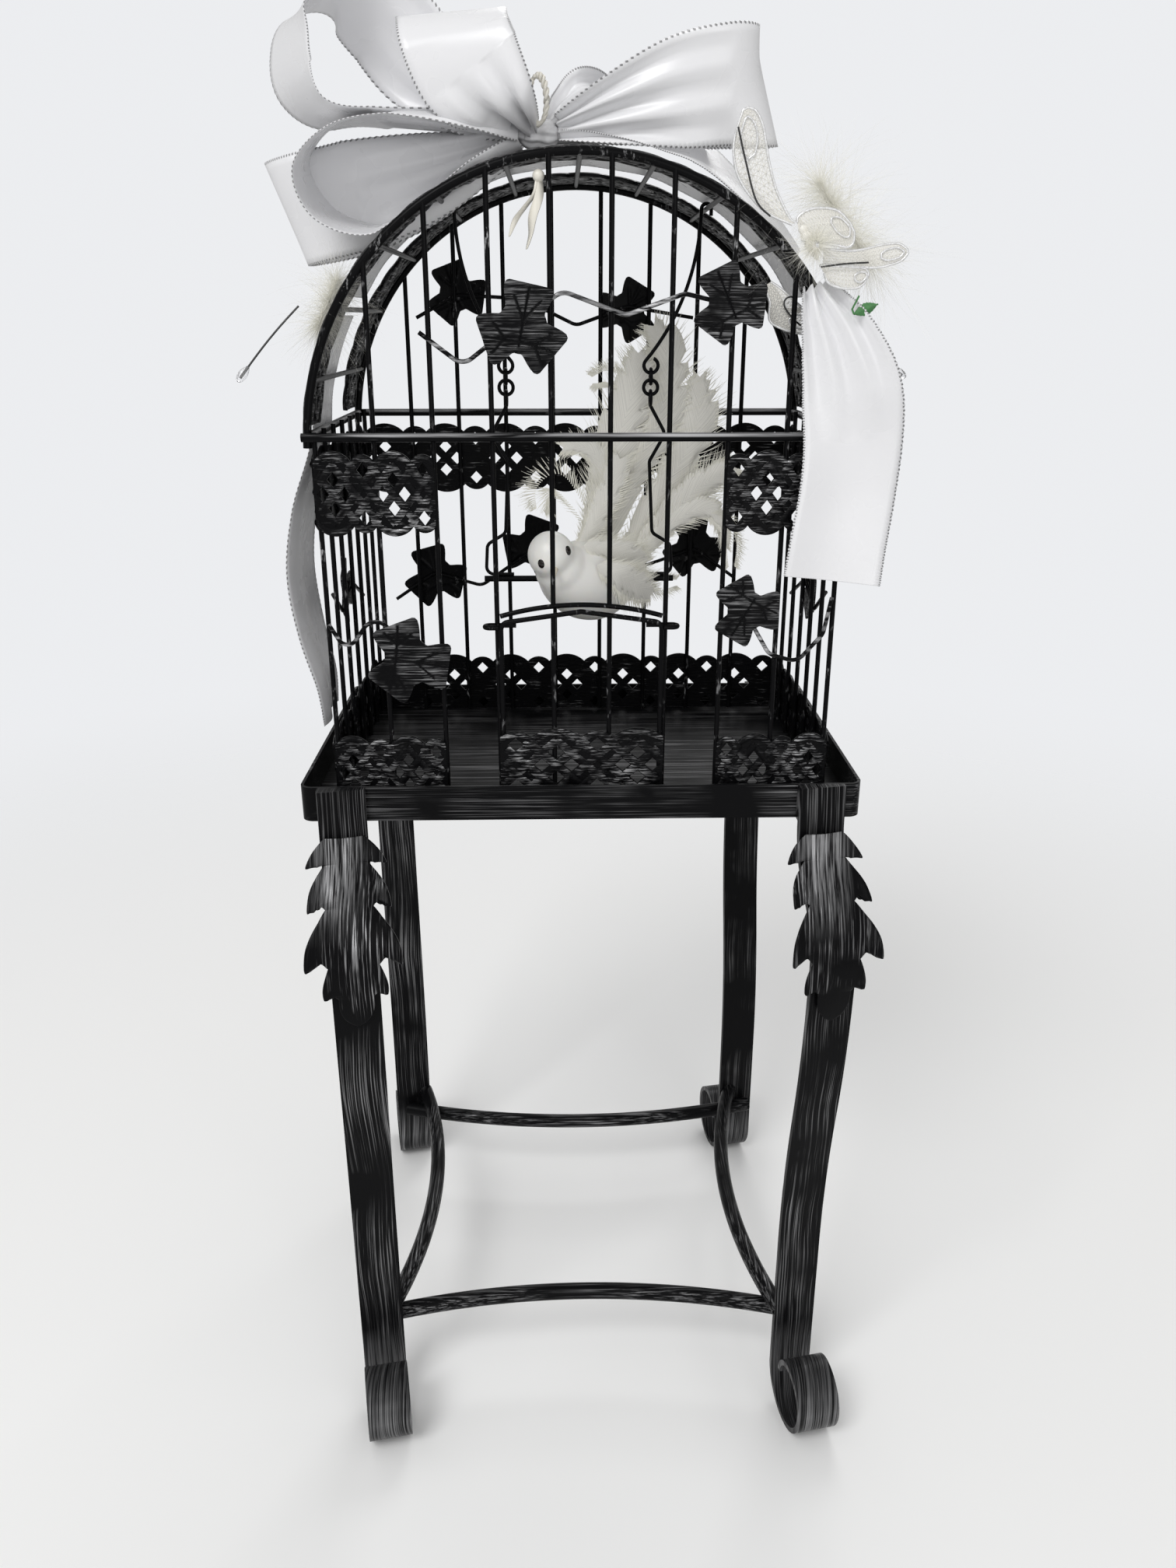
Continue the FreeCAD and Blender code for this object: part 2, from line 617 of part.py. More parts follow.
def around(piece, turn):
    """A piece turned about the cage's upright middle line."""
    turned = piece.copy()
    turned.rotate(V(0, 0, 0), V(0, 0, 1), turn)
    return turned


def strips(middle):
    """Front pair, back and side strips at one height."""
    right = front_strip(DOOR_HALF + BAR_PITCH, HALF_WIDTH + BAR_DIA / 2, middle, SKIN_PLANE)
    back = around(front_strip(-HALF_WIDTH, HALF_WIDTH, middle, SKIN_PLANE), 180)
    side = around(front_strip(-HALF_DEPTH, HALF_DEPTH, middle, HALF_WIDTH + BAR_DIA / 2), 90)
    return both_sides(right), back, both_sides(side)


def arch_band(y_sign):
    """The pierced strip bent over the roof rods beside one arch, scalloped on its inner edge."""
    begin = math.degrees(math.asin(BAND_END_RISE / BAND_INNER))
    front = ARCH_PLANE - FRAME_DIA / 2
    inner_edge = front - STRIP_HEIGHT
    sweep = 180 - 2 * begin
    start = arch_point(begin, BAND_INNER, -front)
    rim = Part.makePolygon([start, arch_point(begin, BAND_OUTER, -front),
                            arch_point(begin, BAND_OUTER, -inner_edge),
                            arch_point(begin, BAND_INNER, -inner_edge), start])
    band = Part.Face(rim).revolve(V(0, 0, ARCH_Z), V(0, -1, 0), sweep)
    length = math.radians(sweep) * BAND_OUTER
    cells = round(length / STRIP_CELL)
    cell = length / cells
    cutters = []
    for u, v in hole_places(cells, cell):
        cutters.append((u, v, STRIP_HOLE))
    for i in range(cells):
        for u in (cell * i, cell * (i + SMALL_SHARE)):
            cutters.append((u, STRIP_HEIGHT / 2, BIG_SCALLOP))
    tools = []
    for u, v, size in cutters:
        tool = Part.Face(diamond(0, 0, size, cell)).extrude(V(0, 4 * STRIP_SHEET, 0))
        tool.rotate(V(0, 0, 0), V(1, 0, 0), 90)
        tool.translate(V(0, (STRIP_HEIGHT / 2 + v) - front, BAND_INNER - 2 * STRIP_SHEET))
        tool.rotate(V(0, 0, 0), V(0, 1, 0), 90 - begin - math.degrees(u / BAND_OUTER))
        tool.translate(V(0, 0, ARCH_Z))
        tools.append(tool)
    band = biggest(band.cut(Part.makeCompound(tools)))
    return band if y_sign < 0 else around(band, 180)


# Door

def door_header():
    """The fixed bowed wire over the door opening, welded between the two door bars."""
    reach = DOOR_HALF - BAR_DIA / 2 - WELD_GAP
    start = V(-reach, -HALF_DEPTH, HEADER_Z)
    return bowed_rod(start, V(reach, -HALF_DEPTH, HEADER_Z), V(0, 0, HEADER_RISE), BAR_DIA)


def door_frame():
    """One wire bent up one side of the door, over its bowed top and down the other side."""
    x = DOOR_HALF - DOOR_SIDE_INSET
    foot = FLOOR_TOP + DOOR_GAP
    line = [(-x, foot), (-x, DOOR_TOP), (0, DOOR_TOP + HEADER_RISE), (x, DOOR_TOP), (x, foot)]
    return bent_wire([V(px, -DOOR_PLANE, pz) for px, pz in line], DOOR_CORNER, BAR_DIA)


def door_bars(frame):
    """The door's two inner bars, butted under its bowed top."""
    bars = []
    for x in (-BAR_PITCH / 2, BAR_PITCH / 2):
        foot = V(x, -DOOR_PLANE, FLOOR_TOP + DOOR_GAP)
        bar = rod(foot, V(x, -DOOR_PLANE, DOOR_TOP + HEADER_RISE / 2), BAR_DIA).cut(frame)
        bars.append(max(bar.Solids, key=lambda solid: solid.BoundBox.ZLength))
    return bars


def door_hook():
    """A wire hook from the door's corner round the outside of a bar, open towards the door."""
    off = BAR_DIA + DOOR_GAP
    z = DOOR_TOP - BAR_DIA
    inside = DOOR_HALF - DOOR_SIDE_INSET + BAR_DIA / 2
    turn_x = DOOR_HALF + HOOK_REACH - off
    front = rod(V(inside, -HALF_DEPTH - off, z), V(turn_x, -HALF_DEPTH - off, z), BAR_DIA)
    bend = ring_arc(V(turn_x, -HALF_DEPTH, z), V(0, 0, 1), V(turn_x, -HALF_DEPTH - off, z), 180, BAR_DIA)
    stub = rod(V(turn_x, off - HALF_DEPTH, z), V(DOOR_HALF - HOOK_STUB, off - HALF_DEPTH, z), BAR_DIA)
    return front.fuse([bend, stub]).removeSplitter().cut(door_frame())


# Swing and bird

def wire_along(arcs, y, diameter):
    """A round wire along plane arcs at one Y."""
    edges = []
    for start, middle, end, h0, hm, h1 in arcs:
        a, m, b = (V(p[0], y, p[1]) for p in (start, middle, end))
        straight = abs(math.remainder(h1 - h0, 2 * math.pi)) < 1e-9
        edges.append((Part.LineSegment(a, b) if straight else Part.Arc(a, m, b)).toShape())
    begin, heading = arcs[0][0], arcs[0][3]
    ahead = V(math.cos(heading), 0, math.sin(heading))
    section = Part.Wire(Part.makeCircle(diameter / 2, V(begin[0], y, begin[1]), ahead))
    return Part.Wire(edges).makePipeShell([section], True, False)


def hanger_arcs():
    """A hook over a roof rod, a long drawn-in shank and an eye at its foot."""
    perch = arch_point(SWING_ROD_ANGLE, ARCH_RADIUS, 0)
    out = perch.x + HOOK_BEND
    line = [(out, perch.z - HOOK_TIP), (out, perch.z), (perch.x - HOOK_BEND, perch.z),
            (SWING_HALF_WIDTH - RING_RADIUS, EYE_HEIGHT + RING_RADIUS)]
    arcs = tangent_arcs(line, math.pi / 2)
    for turn in (100, 100, 90):
        here, heading = arcs[-1][2], arcs[-1][5]
        half = math.radians(turn) / 2
        chord = 2 * RING_RADIUS * math.sin(half)
        end = (here[0] + chord * math.cos(heading + half), here[1] + chord * math.sin(heading + half))
        arcs += tangent_arcs([here, end], heading)
    return arcs


def eye_centre():
    """The centre of the hanger's eye, in (x, z)."""
    here, heading = hanger_arcs()[3][0], hanger_arcs()[3][3]
    return here[0] - RING_RADIUS * math.sin(heading), here[1] + RING_RADIUS * math.cos(heading)


def chain_rings():
    """Two linked rings under the hanger's eye, turned across each other."""
    x, z = eye_centre()
    first = Part.makeTorus(RING_RADIUS, SWING_WIRE / 2, V(x, SWING_Y, z - LINK_STEP), V(1, 0, 0))
    second = Part.makeTorus(RING_RADIUS, SWING_WIRE / 2, V(x, SWING_Y, z - 2 * LINK_STEP), V(0, 1, 0))
    return [first, second]


def swing_side():
    """One side wire of the swing: an eye, a kinked shank and a foot curled under onto the perch."""
    x, z = eye_centre()
    eye_z = z - 3 * LINK_STEP
    eye = Part.makeTorus(RING_RADIUS, SWING_WIRE / 2, V(x, SWING_Y, eye_z), V(1, 0, 0))
    lap = PERCH_HEIGHT + (PERCH_DIA + SWING_WIRE) / 2
    foot = eye_z - RING_RADIUS
    points = [V(x, SWING_Y, foot)]
    points += [V(x + dx, SWING_Y, foot + dz) for dx, dz in SIDE_KINK]
    points += [V(x + dx, SWING_Y, lap + dz) for dx, dz in SIDE_FOOT]
    return eye.fuse(bent_wire(points, SWING_BEND, SWING_WIRE)).removeSplitter()


def egg(length, radius):
    """A round body along X, fullest ahead of its middle, from its tail at X = 0."""
    tail = V(0, 0, 0)
    crown = V(FULLEST * length, 0, radius)
    nose = V(length, 0, 0)
    hind = tangent_arcs([(crown.x, crown.z), (tail.x, tail.z)], math.pi)[0][1]
    fore = tangent_arcs([(crown.x, crown.z), (nose.x, nose.z)], 0)[0][1]
    blunt = V(0, 0, EGG_TIP)
    outline = Part.BSplineCurve()
    start = tail.add(blunt)
    stop = nose.add(blunt)
    outline.interpolate([start, V(hind[0], 0, hind[1]), crown, V(fore[0], 0, fore[1]), stop])
    ends = Part.makePolygon([stop, nose, tail, start]).Edges
    return Part.Face(Part.Wire([outline.toShape()] + ends)).revolve(tail, V(1, 0, 0), 360)


def aim(shape, place, direction):
    """Turn a piece that lies along +X to a direction and set its start at a place."""
    aimed = shape.copy()
    aimed.Placement = FreeCAD.Placement(place, FreeCAD.Rotation(V(1, 0, 0), direction))
    return aimed


def bird():
    """The bird's body on the perch, its head, bill and eyes."""
    middle = V(BIRD_X, SWING_Y + BIRD_SHIFT, PERCH_HEIGHT)
    back = V(BIRD_FACING).multiply(-FULLEST * BIRD_LENGTH)
    perch = swing_perch()
    body = biggest(aim(egg(BIRD_LENGTH, BIRD_RADIUS), middle.add(back), BIRD_FACING).cut(perch))
    head_at = middle.add(V(BIRD_FACING).multiply(HEAD_AHEAD)).add(V(0, 0, HEAD_UP))
    ball = Part.makeSphere(HEAD_RADIUS, head_at)
    look = V(BIRD_FACING.x, BIRD_FACING.y, 0)
    look.normalize()
    seat = head_at.add(V(look).multiply(HEAD_RADIUS - BILL_RADIUS))
    bill = Part.makeCone(BILL_RADIUS, BILL_TIP, BILL_RADIUS + BILL_LENGTH, seat, look)
    aside = look.cross(V(0, 0, 1))
    ahead, outward, up = EYE_SPOT
    eyes = []
    for side in (-1, 1):
        spot = V(look).multiply(ahead).add(V(aside).multiply(outward * side)).add(V(0, 0, up))
        spot.normalize()
        eyes.append(Part.makeSphere(EYE_RADIUS, head_at.add(spot.multiply(HEAD_RADIUS))).cut(ball))
    return body, ball.cut(body), bill.cut(ball), eyes


def tail_feathers(body):
    """Curled tail plumes that spring from the back of the bird's body, fanned in layers."""
    root = V(BIRD_X, SWING_Y + BIRD_SHIFT, PERCH_HEIGHT).add(V(BIRD_FACING).multiply(-PLUME_BEHIND))
    plumes = []
    for i, (lean, rise, curl) in enumerate(PLUMES):
        foot = root.add(V(PLUME_STEP * (i - (len(PLUMES) - 1) / 2), PLUME_LAYER * i, PLUME_UP))
        stations = []
        for k in range(PLUME_STATIONS + 1):
            t = k / PLUME_STATIONS
            height = rise * math.sin(math.pi / 2 * t) - curl * t ** 3
            place = foot.add(V(lean * t ** 1.4, PLUME_DRIFT * height, height))
            width = PLUME_WIDTH * (0.3 + 0.9 * math.sin(math.pi * t ** 0.7) - 0.15 * t)
            stations.append((place, V(1, 0, -0.4 * lean / rise), V(0, 1, 0), width))
        plumes.append(biggest(ribbon(stations).cut(body)))
    return plumes


def swing_perch():
    """The straight rod that the bird sits on."""
    reach = eye_centre()[0] + PERCH_OVERHANG
    return rod(V(-reach, SWING_Y, PERCH_HEIGHT), V(reach, SWING_Y, PERCH_HEIGHT), PERCH_DIA)


# Vines

def ivy_leaf(size, turn):
    """A three-lobed leaf plate in the XZ plane, with its stalk end at the bottom before the turn."""
    edges = []
    for side in (1, -1):
        for arc in IVY_HALF:
            a, m, b = (V(side * size * p[0], 0, size * p[1]) for p in arc)
            edges.append(Part.Arc(a, m, b).toShape())
    plate = Part.Face(Part.Wire(Part.__sortEdges__(edges))).extrude(V(0, LEAF_PLATE, 0))
    plate.rotate(V(0, 0, 0), V(0, 1, 0), turn)
    return plate


def vine(points):
    """A vine wire that lies on the front bars, through (x, z) points."""
    y = -SKIN_PLANE - VINE_DIA / 2
    return bent_wire([V(x, y, RAIL_Z + z) for x, z in points], VINE_BEND, VINE_DIA)


def vine_leaf(x, z, size, turn):
    """A leaf on the front of a vine wire."""
    leaf = ivy_leaf(size, turn)
    leaf.translate(V(x, -SKIN_PLANE - VINE_DIA - LEAF_PLATE, RAIL_Z + z))
    return leaf


def to_side(piece):
    """A front piece moved to the right side of the cage, with X turned to Y."""
    moved = around(piece, 90)
    moved.translate(V(HALF_WIDTH - HALF_DEPTH, 0, 0))
    return moved


# Ribbon, butterfly and feather picks

def knot_centre():
    """The middle of the bow's knot, which sits on the band of the front arch."""
    return arch_point(KNOT_ANGLE, BAND_OUTER + RIBBON_SEAT + KNOT_RADIUS, KNOT_Y)


def bow_tie():
    """A wire ring that leans forward from the front of the knot."""
    lean = V(TIE_LEAN)
    lean.normalize()
    contact = V(0, -1, 1)
    contact.normalize()
    foot = knot_centre().add(contact.multiply(KNOT_RADIUS + RIBBON_SEAT + TIE_WIRE / 2))
    centre = foot.add(V(lean).multiply(TIE_RADIUS))
    return Part.makeTorus(TIE_RADIUS, TIE_WIRE / 2, centre, lean.cross(V(1, 0, 0)))


def bow_loop(out, up, length, height):
    """One loop of ribbon, gathered at the knot, in the plane of two directions."""
    across = out.cross(up)
    across.normalize()
    rise = across.cross(out)
    rise.normalize()
    lead = V(out)
    lead.normalize()
    root = knot_centre().add(V(lead).multiply(KNOT_RADIUS + RIBBON_SEAT))

    stations = []
    for k in range(LOOP_STATIONS + 1):
        a = LOOP_START + 2 * (math.pi - LOOP_START) * k / LOOP_STATIONS
        share = (1 - math.cos(a)) / 2
        x = length * share
        z = height * math.sin(a) * share + LOOP_GAP * math.cos(a / 2)
        run = length * math.sin(a) / 2
        climb = height * (math.cos(a) * share + math.sin(a) ** 2 / 2) - LOOP_GAP * math.sin(a / 2) / 2
        place = root.add(V(lead).multiply(x)).add(V(rise).multiply(z))
        normal = V(rise).multiply(run).sub(V(lead).multiply(climb))
        width = GATHER_WIDTH + (RIBBON_WIDTH - GATHER_WIDTH) * min(1, x / GATHER_RUN)
        stations.append((place, across, normal, width))
    return ribbon(stations)


def roof_ribbon():
    """Ribbon laid over the roof and the swing's hooks, between the two pierced bands."""
    inner = ROOF_RIBBON_RADIUS
    begin = 90 - ROOF_RIBBON_SWEEP / 2
    half = RIBBON_WIDTH / 2
    corners = [arch_point(begin, r, y) for r, y in ((inner, -half), (inner + RIBBON_THICK, -half),
                                                    (inner + RIBBON_THICK, half), (inner, half))]
    section = Part.Face(Part.makePolygon(corners + corners[:1]))
    return section.revolve(V(0, 0, ARCH_Z), V(0, -1, 0), ROOF_RIBBON_SWEEP)


def tail_right():
    """The front tail: gathered where it is pinned to the arch, then hanging with soft folds."""
    top = arch_point(TAIL_ANGLE, ARCH_RADIUS, 0)
    face = SKIN_PLANE + RIBBON_SEAT + RIBBON_THICK / 2
    stations = []
    for k in range(TAIL_STATIONS + 1):
        t = k / TAIL_STATIONS
        width = GATHER_WIDTH + (RIBBON_WIDTH - GATHER_WIDTH) * min(1, 2.2 * t) ** 0.6
        sway = TAIL_SWAY * math.sin(math.pi * t)
        out = TAIL_FOLD * math.sin(2.5 * math.pi * t) ** 2 + TAIL_CLEAR * min(1, 6 * t)
        twist = math.radians(TAIL_TWIST) * math.sin(1.5 * math.pi * t)
        place = V(top.x + sway + TAIL_SHIFT * t, -face - out, top.z - TAIL_LENGTH * t)
        across = V(math.cos(twist), math.sin(twist), 0)
        stations.append((place, across, V(-across.y, across.x, 0), width))
    return ribbon(stations)


def tail_left():
    """The side tail: it comes down the vault and hangs beside the cage with its edge to the front."""
    stations = []
    for angle in SIDE_TAIL_ANGLES:
        place = arch_point(angle, TAIL_RADIUS, SIDE_TAIL_Y)
        stations.append((place, V(0, 1, 0), V(0, SIDE_TAIL_Y, ARCH_Z).sub(place), RIBBON_WIDTH))
    for k in range(TAIL_STATIONS + 1):
        t = k / TAIL_STATIONS
        out = SIDE_TAIL_FOLD * (math.sin(math.pi * t) ** 2 + t / 2)
        place = V(-TAIL_RADIUS - out, SIDE_TAIL_Y, RAIL_Z - SIDE_TAIL_LENGTH * t)
        stations.append((place, V(0, 1, 0), V(1, 0, 0), RIBBON_WIDTH))
    return ribbon(stations)


def wing(span, chord, tilt):
    """A rounded wing plate in the XZ plane from its root near the origin, raised by a tilt."""
    edges = []
    for arc in WING_ARCS:
        edges.append(Part.Arc(*(V(WING_ROOT + span * x, 0, chord * z) for x, z in arc)).toShape())
    plate = Part.Face(Part.Wire(edges)).extrude(V(0, WING_SHEET, 0))
    plate.rotate(V(0, 0, 0), V(0, 1, 0), -tilt)
    return plate


def butterfly():
    """Lace wings fanned in two layers round a small body before the right puff, out to the part's width."""
    body = aim(egg(INSECT_LENGTH, INSECT_RADIUS), V(0, WING_SHEET / 2, -INSECT_LENGTH / 2), V(0, 0, 1))
    pieces = [body]
    for i, (tilt, span, chord) in enumerate(BUTTERFLY_WINGS):
        plate = wing(span, chord, tilt)
        plate.translate(V(0, -(i % 2) * (WING_SHEET + RIBBON_SEAT), 0))
        pieces.append(biggest(plate.cut(body)))
    reach = max(piece.BoundBox.XMax for piece in pieces)
    for piece in pieces:
        piece.translate(V(PICK_REACH - reach, -PICK_PLANE - WING_SHEET, RAIL_Z + BUTTERFLY_RISE))
    return pieces


def puff(length, radius, angle):
    """A feather puff that lies against the vault's front band."""
    middle = arch_point(angle, BAND_OUTER + RIBBON_SEAT + radius, -PUFF_Y)
    a = math.radians(angle)
    along = V(math.sin(a), 0, -math.cos(a))
    return aim(egg(length, radius), middle.sub(V(along).multiply(FULLEST * length)), along)


def pick_wire(bunch):
    """A thin wire with a clear bead at its tip, standing out of the left puff."""
    heart = bunch.BoundBox.Center
    tip = V(-PICK_REACH + BEAD_RADIUS, heart.y - PICK_FORWARD, heart.z - PICK_DROP)
    bead = Part.makeSphere(BEAD_RADIUS, tip)
    return [biggest(rod(heart, tip, PICK_WIRE).cut(bunch).cut(bead)), bead]


def sprig():
    """A small pointed leaf and its stalk, wired in front of the butterfly."""
    half = SPRIG_LENGTH / 2
    edges = []
    for side in (1, -1):
        arc = Part.Arc(V(-side * half, 0, 0), V(0, 0, side * SPRIG_WIDTH / 2), V(side * half, 0, 0))
        edges.append(arc.toShape())
    leaf = Part.Face(Part.Wire(edges)).extrude(V(0, LEAF_PLATE, 0))
    stalk = rod(V(-half, LEAF_PLATE / 2, 0), V(-2 * half, LEAF_PLATE / 2, half), PICK_WIRE / 2)
    pieces = [leaf, biggest(stalk.cut(leaf))]
    for piece in pieces:
        piece.rotate(V(0, 0, 0), V(0, 1, 0), -SPRIG_TURN)
        piece.translate(V(PICK_REACH - SPRIG_INSET, -PICK_PLANE - LEAF_PLATE, RAIL_Z + SPRIG_RISE))
    return pieces


# Build every node and write one file for each

def build():
    """All the nodes by name, each a list of solids."""
    nodes = {}
    legs = {}
    for y_sign, end in ((-1, "front"), (1, "back")):
        for x_sign, side in ((-1, "left"), (1, "right")):
            legs[end, side] = leg(x_sign, y_sign)
            nodes[f"leg_{end}_{side}"] = [legs[end, side]]
    nodes["stand_tray"] = [tray()]
    nodes["leg_leaf_left"] = [leg_leaf(-1)]
    nodes["leg_leaf_right"] = [leg_leaf(1)]
    all_legs = list(legs.values())
    nodes["stretcher_front"] = [stretcher_front(-1, all_legs)]
    nodes["stretcher_back"] = [stretcher_front(1, all_legs)]
    nodes["stretcher_left"] = [stretcher_side(-1, all_legs)]
    nodes["stretcher_right"] = [stretcher_side(1, all_legs)]

    arches = [arch(-1), arch(1)]
    header = door_header()
    nodes["cage_floor"] = [cage_floor()]
    nodes["base_frame"] = base_frame()
    nodes["front_bars"] = face_bars(-1, header)
    nodes["back_bars"] = face_bars(1)
    nodes["side_bars"] = side_bars()
    nodes["waist_rail"] = waist_rail(arches)
    nodes["front_arch"], nodes["back_arch"] = [arches[0]], [arches[1]]
    nodes["roof_rods"] = roof_rods(arches)
    nodes["front_arch_band"], nodes["back_arch_band"] = [arch_band(-1)], [arch_band(1)]
    nodes["door_header"] = [header]
    for level, middle in (("base", BASE_STRIP_Z), ("waist", WAIST_STRIP_Z)):
        front, back, sides = strips(middle)
        nodes[f"{level}_strips_front"] = front
        nodes[f"{level}_strip_back"] = [back]
        nodes[f"{level}_strips_side"] = sides

    frame = door_frame()
    nodes["door_frame"] = [frame]
    nodes["door_bars"] = door_bars(frame)
    nodes["door_strip"] = [front_strip(-DOOR_HALF, DOOR_HALF, BASE_STRIP_Z + DOOR_GAP + FRAME_DIA,
                                       DOOR_PLANE + BAR_DIA / 2)]
    nodes["door_hooks"] = both_sides(door_hook())

    hanger = wire_along(hanger_arcs(), SWING_Y, SWING_WIRE)
    nodes["swing_hangers"] = both_sides(hanger)
    nodes["swing_rings"] = [ring for link in chain_rings() for ring in both_sides(link)]
    nodes["swing_sides"] = both_sides(swing_side())
    nodes["swing_perch"] = [swing_perch()]
    body, head, bill, eyes = bird()
    nodes["bird_body"], nodes["bird_head"], nodes["bird_bill"] = [body], [head], [bill]
    nodes["bird_eyes"] = eyes
    nodes["bird_tail"] = tail_feathers(body)

    nodes["front_vines"] = [vine(line) for line in FRONT_VINES]
    nodes["front_leaves"] = [vine_leaf(*leaf) for leaf in FRONT_LEAVES]
    nodes["back_vines"] = [around(vine(line), 180) for line in BACK_VINES]
    nodes["back_leaves"] = [around(vine_leaf(*leaf), 180) for leaf in BACK_LEAVES]
    nodes["side_vines"] = both_sides(to_side(vine(SIDE_VINE)))
    nodes["side_leaves"] = both_sides(to_side(vine_leaf(*SIDE_LEAF)))

    nodes["bow_loops"] = [bow_loop(*loop) for loop in BOW_LOOPS]
    nodes["bow_knot"] = [Part.makeSphere(KNOT_RADIUS, knot_centre())]
    nodes["bow_tie"] = [bow_tie()]
    nodes["roof_ribbon"] = [roof_ribbon()]
    nodes["ribbon_tail_right"] = [tail_right()]
    nodes["ribbon_tail_left"] = [tail_left()]
    nodes["butterfly"] = butterfly()
    nodes["feather_puff_right"] = [puff(PUFF_LENGTH, PUFF_RADIUS, PUFF_ANGLE)]
    bunch = puff(SMALL_PUFF_LENGTH, SMALL_PUFF_RADIUS, 180 - SMALL_PUFF_ANGLE)
    nodes["feather_puff_left"] = [bunch]
    nodes["pick_wire_left"] = pick_wire(bunch)
    nodes["leaf_sprig"] = sprig()
    return nodes


os.makedirs("parts", exist_ok=True)
for name, solids in build().items():
    shape = solids[0] if len(solids) == 1 else Part.makeCompound(solids)
    shape.exportStep(f"parts/{name}.step")
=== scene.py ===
# %% [markdown]
# # A birdcage card box with a satin bow
# The construction model of the cage, its stand, its door and its swing is loaded as a fixed frame.
# This lesson gives that frame its finishes and makes the soft and worked pieces that wire and sheet alone
# can't show: the bow, the lace butterfly, the feathers and the dove.

# %% Open the frame
import math
import random

import bpy
import numpy as np
from mathutils import Matrix, Vector


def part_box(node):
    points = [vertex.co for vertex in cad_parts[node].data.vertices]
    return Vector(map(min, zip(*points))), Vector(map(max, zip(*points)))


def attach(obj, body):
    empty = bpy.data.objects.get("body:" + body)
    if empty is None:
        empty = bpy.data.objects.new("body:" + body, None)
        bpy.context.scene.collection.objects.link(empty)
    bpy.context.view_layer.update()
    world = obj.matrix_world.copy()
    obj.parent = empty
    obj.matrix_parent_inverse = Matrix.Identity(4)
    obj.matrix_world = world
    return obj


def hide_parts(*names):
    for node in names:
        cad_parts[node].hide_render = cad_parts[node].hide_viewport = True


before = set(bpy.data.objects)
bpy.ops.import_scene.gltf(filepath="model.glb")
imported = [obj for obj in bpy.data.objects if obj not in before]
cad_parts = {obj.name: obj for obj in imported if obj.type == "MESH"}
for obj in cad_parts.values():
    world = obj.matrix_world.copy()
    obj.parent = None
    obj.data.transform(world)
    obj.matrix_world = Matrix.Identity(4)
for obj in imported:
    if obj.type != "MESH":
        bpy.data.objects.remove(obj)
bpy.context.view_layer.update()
bpy.ops.object.select_all(action="DESELECT")
MM = 0.001
print("nodes in the frame:", len(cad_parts))

# %% [markdown]
# ## The camera
# A camera is matched to the photograph by fitting known corners of the object. The fit gave a lens of about
# 27.7 mm on a 36 mm long side, a little above the middle of the cage and looking down by 21 degrees.

# %% Camera
bpy.context.scene.view_settings.view_transform = "Standard"
LOOK_DOWN, LOOK_RIGHT = 21.15, 1.25
LONG_SIDE, LONG_PIXELS, FOCAL_PIXELS = 36, 2016, 1550
bpy.ops.object.camera_add(location=(-0.0093, -0.6512, 0.6001),
                          rotation=(math.radians(90 - LOOK_DOWN), 0, math.radians(-LOOK_RIGHT)))
camera = bpy.context.object
camera.data.sensor_width = LONG_SIDE
camera.data.lens = LONG_SIDE * FOCAL_PIXELS / LONG_PIXELS
bpy.context.scene.camera = camera
print("lens", round(camera.data.lens, 2), "mm")

# %% [markdown]
# ## Tools for finishes
# Every finish is a small tree of nodes. With each link written out, it is hard to see what a tree does. So one
# tool adds a node, feeds its sockets with numbers or with other nodes' outputs, and hands back the output that is
# wanted. Tools for colour, bump, noise and gloss follow where a finish first needs them.

# %% Node tools
def feed(owner, socket, value):
    """Put a value on a socket or, when the value is another node's output, link it."""
    if isinstance(value, bpy.types.NodeSocket):
        owner.node_tree.links.new(value, socket)
    else:
        socket.default_value = value


def add_node(owner, kind, output, *values, operation=None, **named):
    """A new node's wanted output; sockets are fed in order or by name, with an underscore for a space."""
    made = owner.node_tree.nodes.new(kind)
    if operation:
        made.operation = operation
    for socket, value in zip(made.inputs, values):
        feed(owner, socket, value)
    for name, value in named.items():
        feed(owner, made.inputs[name.replace("_", " ")], value)
    return made.outputs[output]


def maths(owner, operation, *values):
    """The result of a sum on numbers or outputs."""
    return add_node(owner, "ShaderNodeMath", "Value", *values, operation=operation)


def ramp(owner, value, low, high, at_low=0.0, at_high=1.0):
    """A value stretched from one range to another and held at its ends."""
    return add_node(owner, "ShaderNodeMapRange", "Result", value, low, high, at_low, at_high)


print("node tools: feed, add_node, maths, ramp")

# %% [markdown]
# ## The floor and the light
# A pale floor catches the shadow. A wall would hide the object from behind, so the floor fades out into a
# world of the same paleness instead. Only rays from the camera and through clear things see that pale world.
# The light on the object comes from a dimmer even sky and from three broad lamps.

# %% Floor
PALE = (0.84, 0.85, 0.87)
FLOOR_COLOUR = (0.93, 0.93, 0.925, 1)
FADE_START, FADE_END = 0.45, 1.5
bpy.ops.mesh.primitive_circle_add(vertices=96, radius=3.0, fill_type="NGON")
floor = bpy.context.object
floor.name = "floor"
floor_finish = bpy.data.materials.new("pale_floor")
floor_finish.use_nodes = True
floor_nodes = floor_finish.node_tree.nodes
floor_nodes.remove(floor_nodes["Principled BSDF"])
place = add_node(floor_finish, "ShaderNodeTexCoord", "Object")
reach = add_node(floor_finish, "ShaderNodeVectorMath", "Value", place, operation="LENGTH")
ease = ramp(floor_finish, reach, FADE_START, FADE_END)
ease.node.interpolation_type = "SMOOTHSTEP"
matt = add_node(floor_finish, "ShaderNodeBsdfDiffuse", "BSDF", Color=FLOOR_COLOUR)
clear = add_node(floor_finish, "ShaderNodeBsdfTransparent", "BSDF")
fade = add_node(floor_finish, "ShaderNodeMixShader", "Shader", ease, matt, clear)
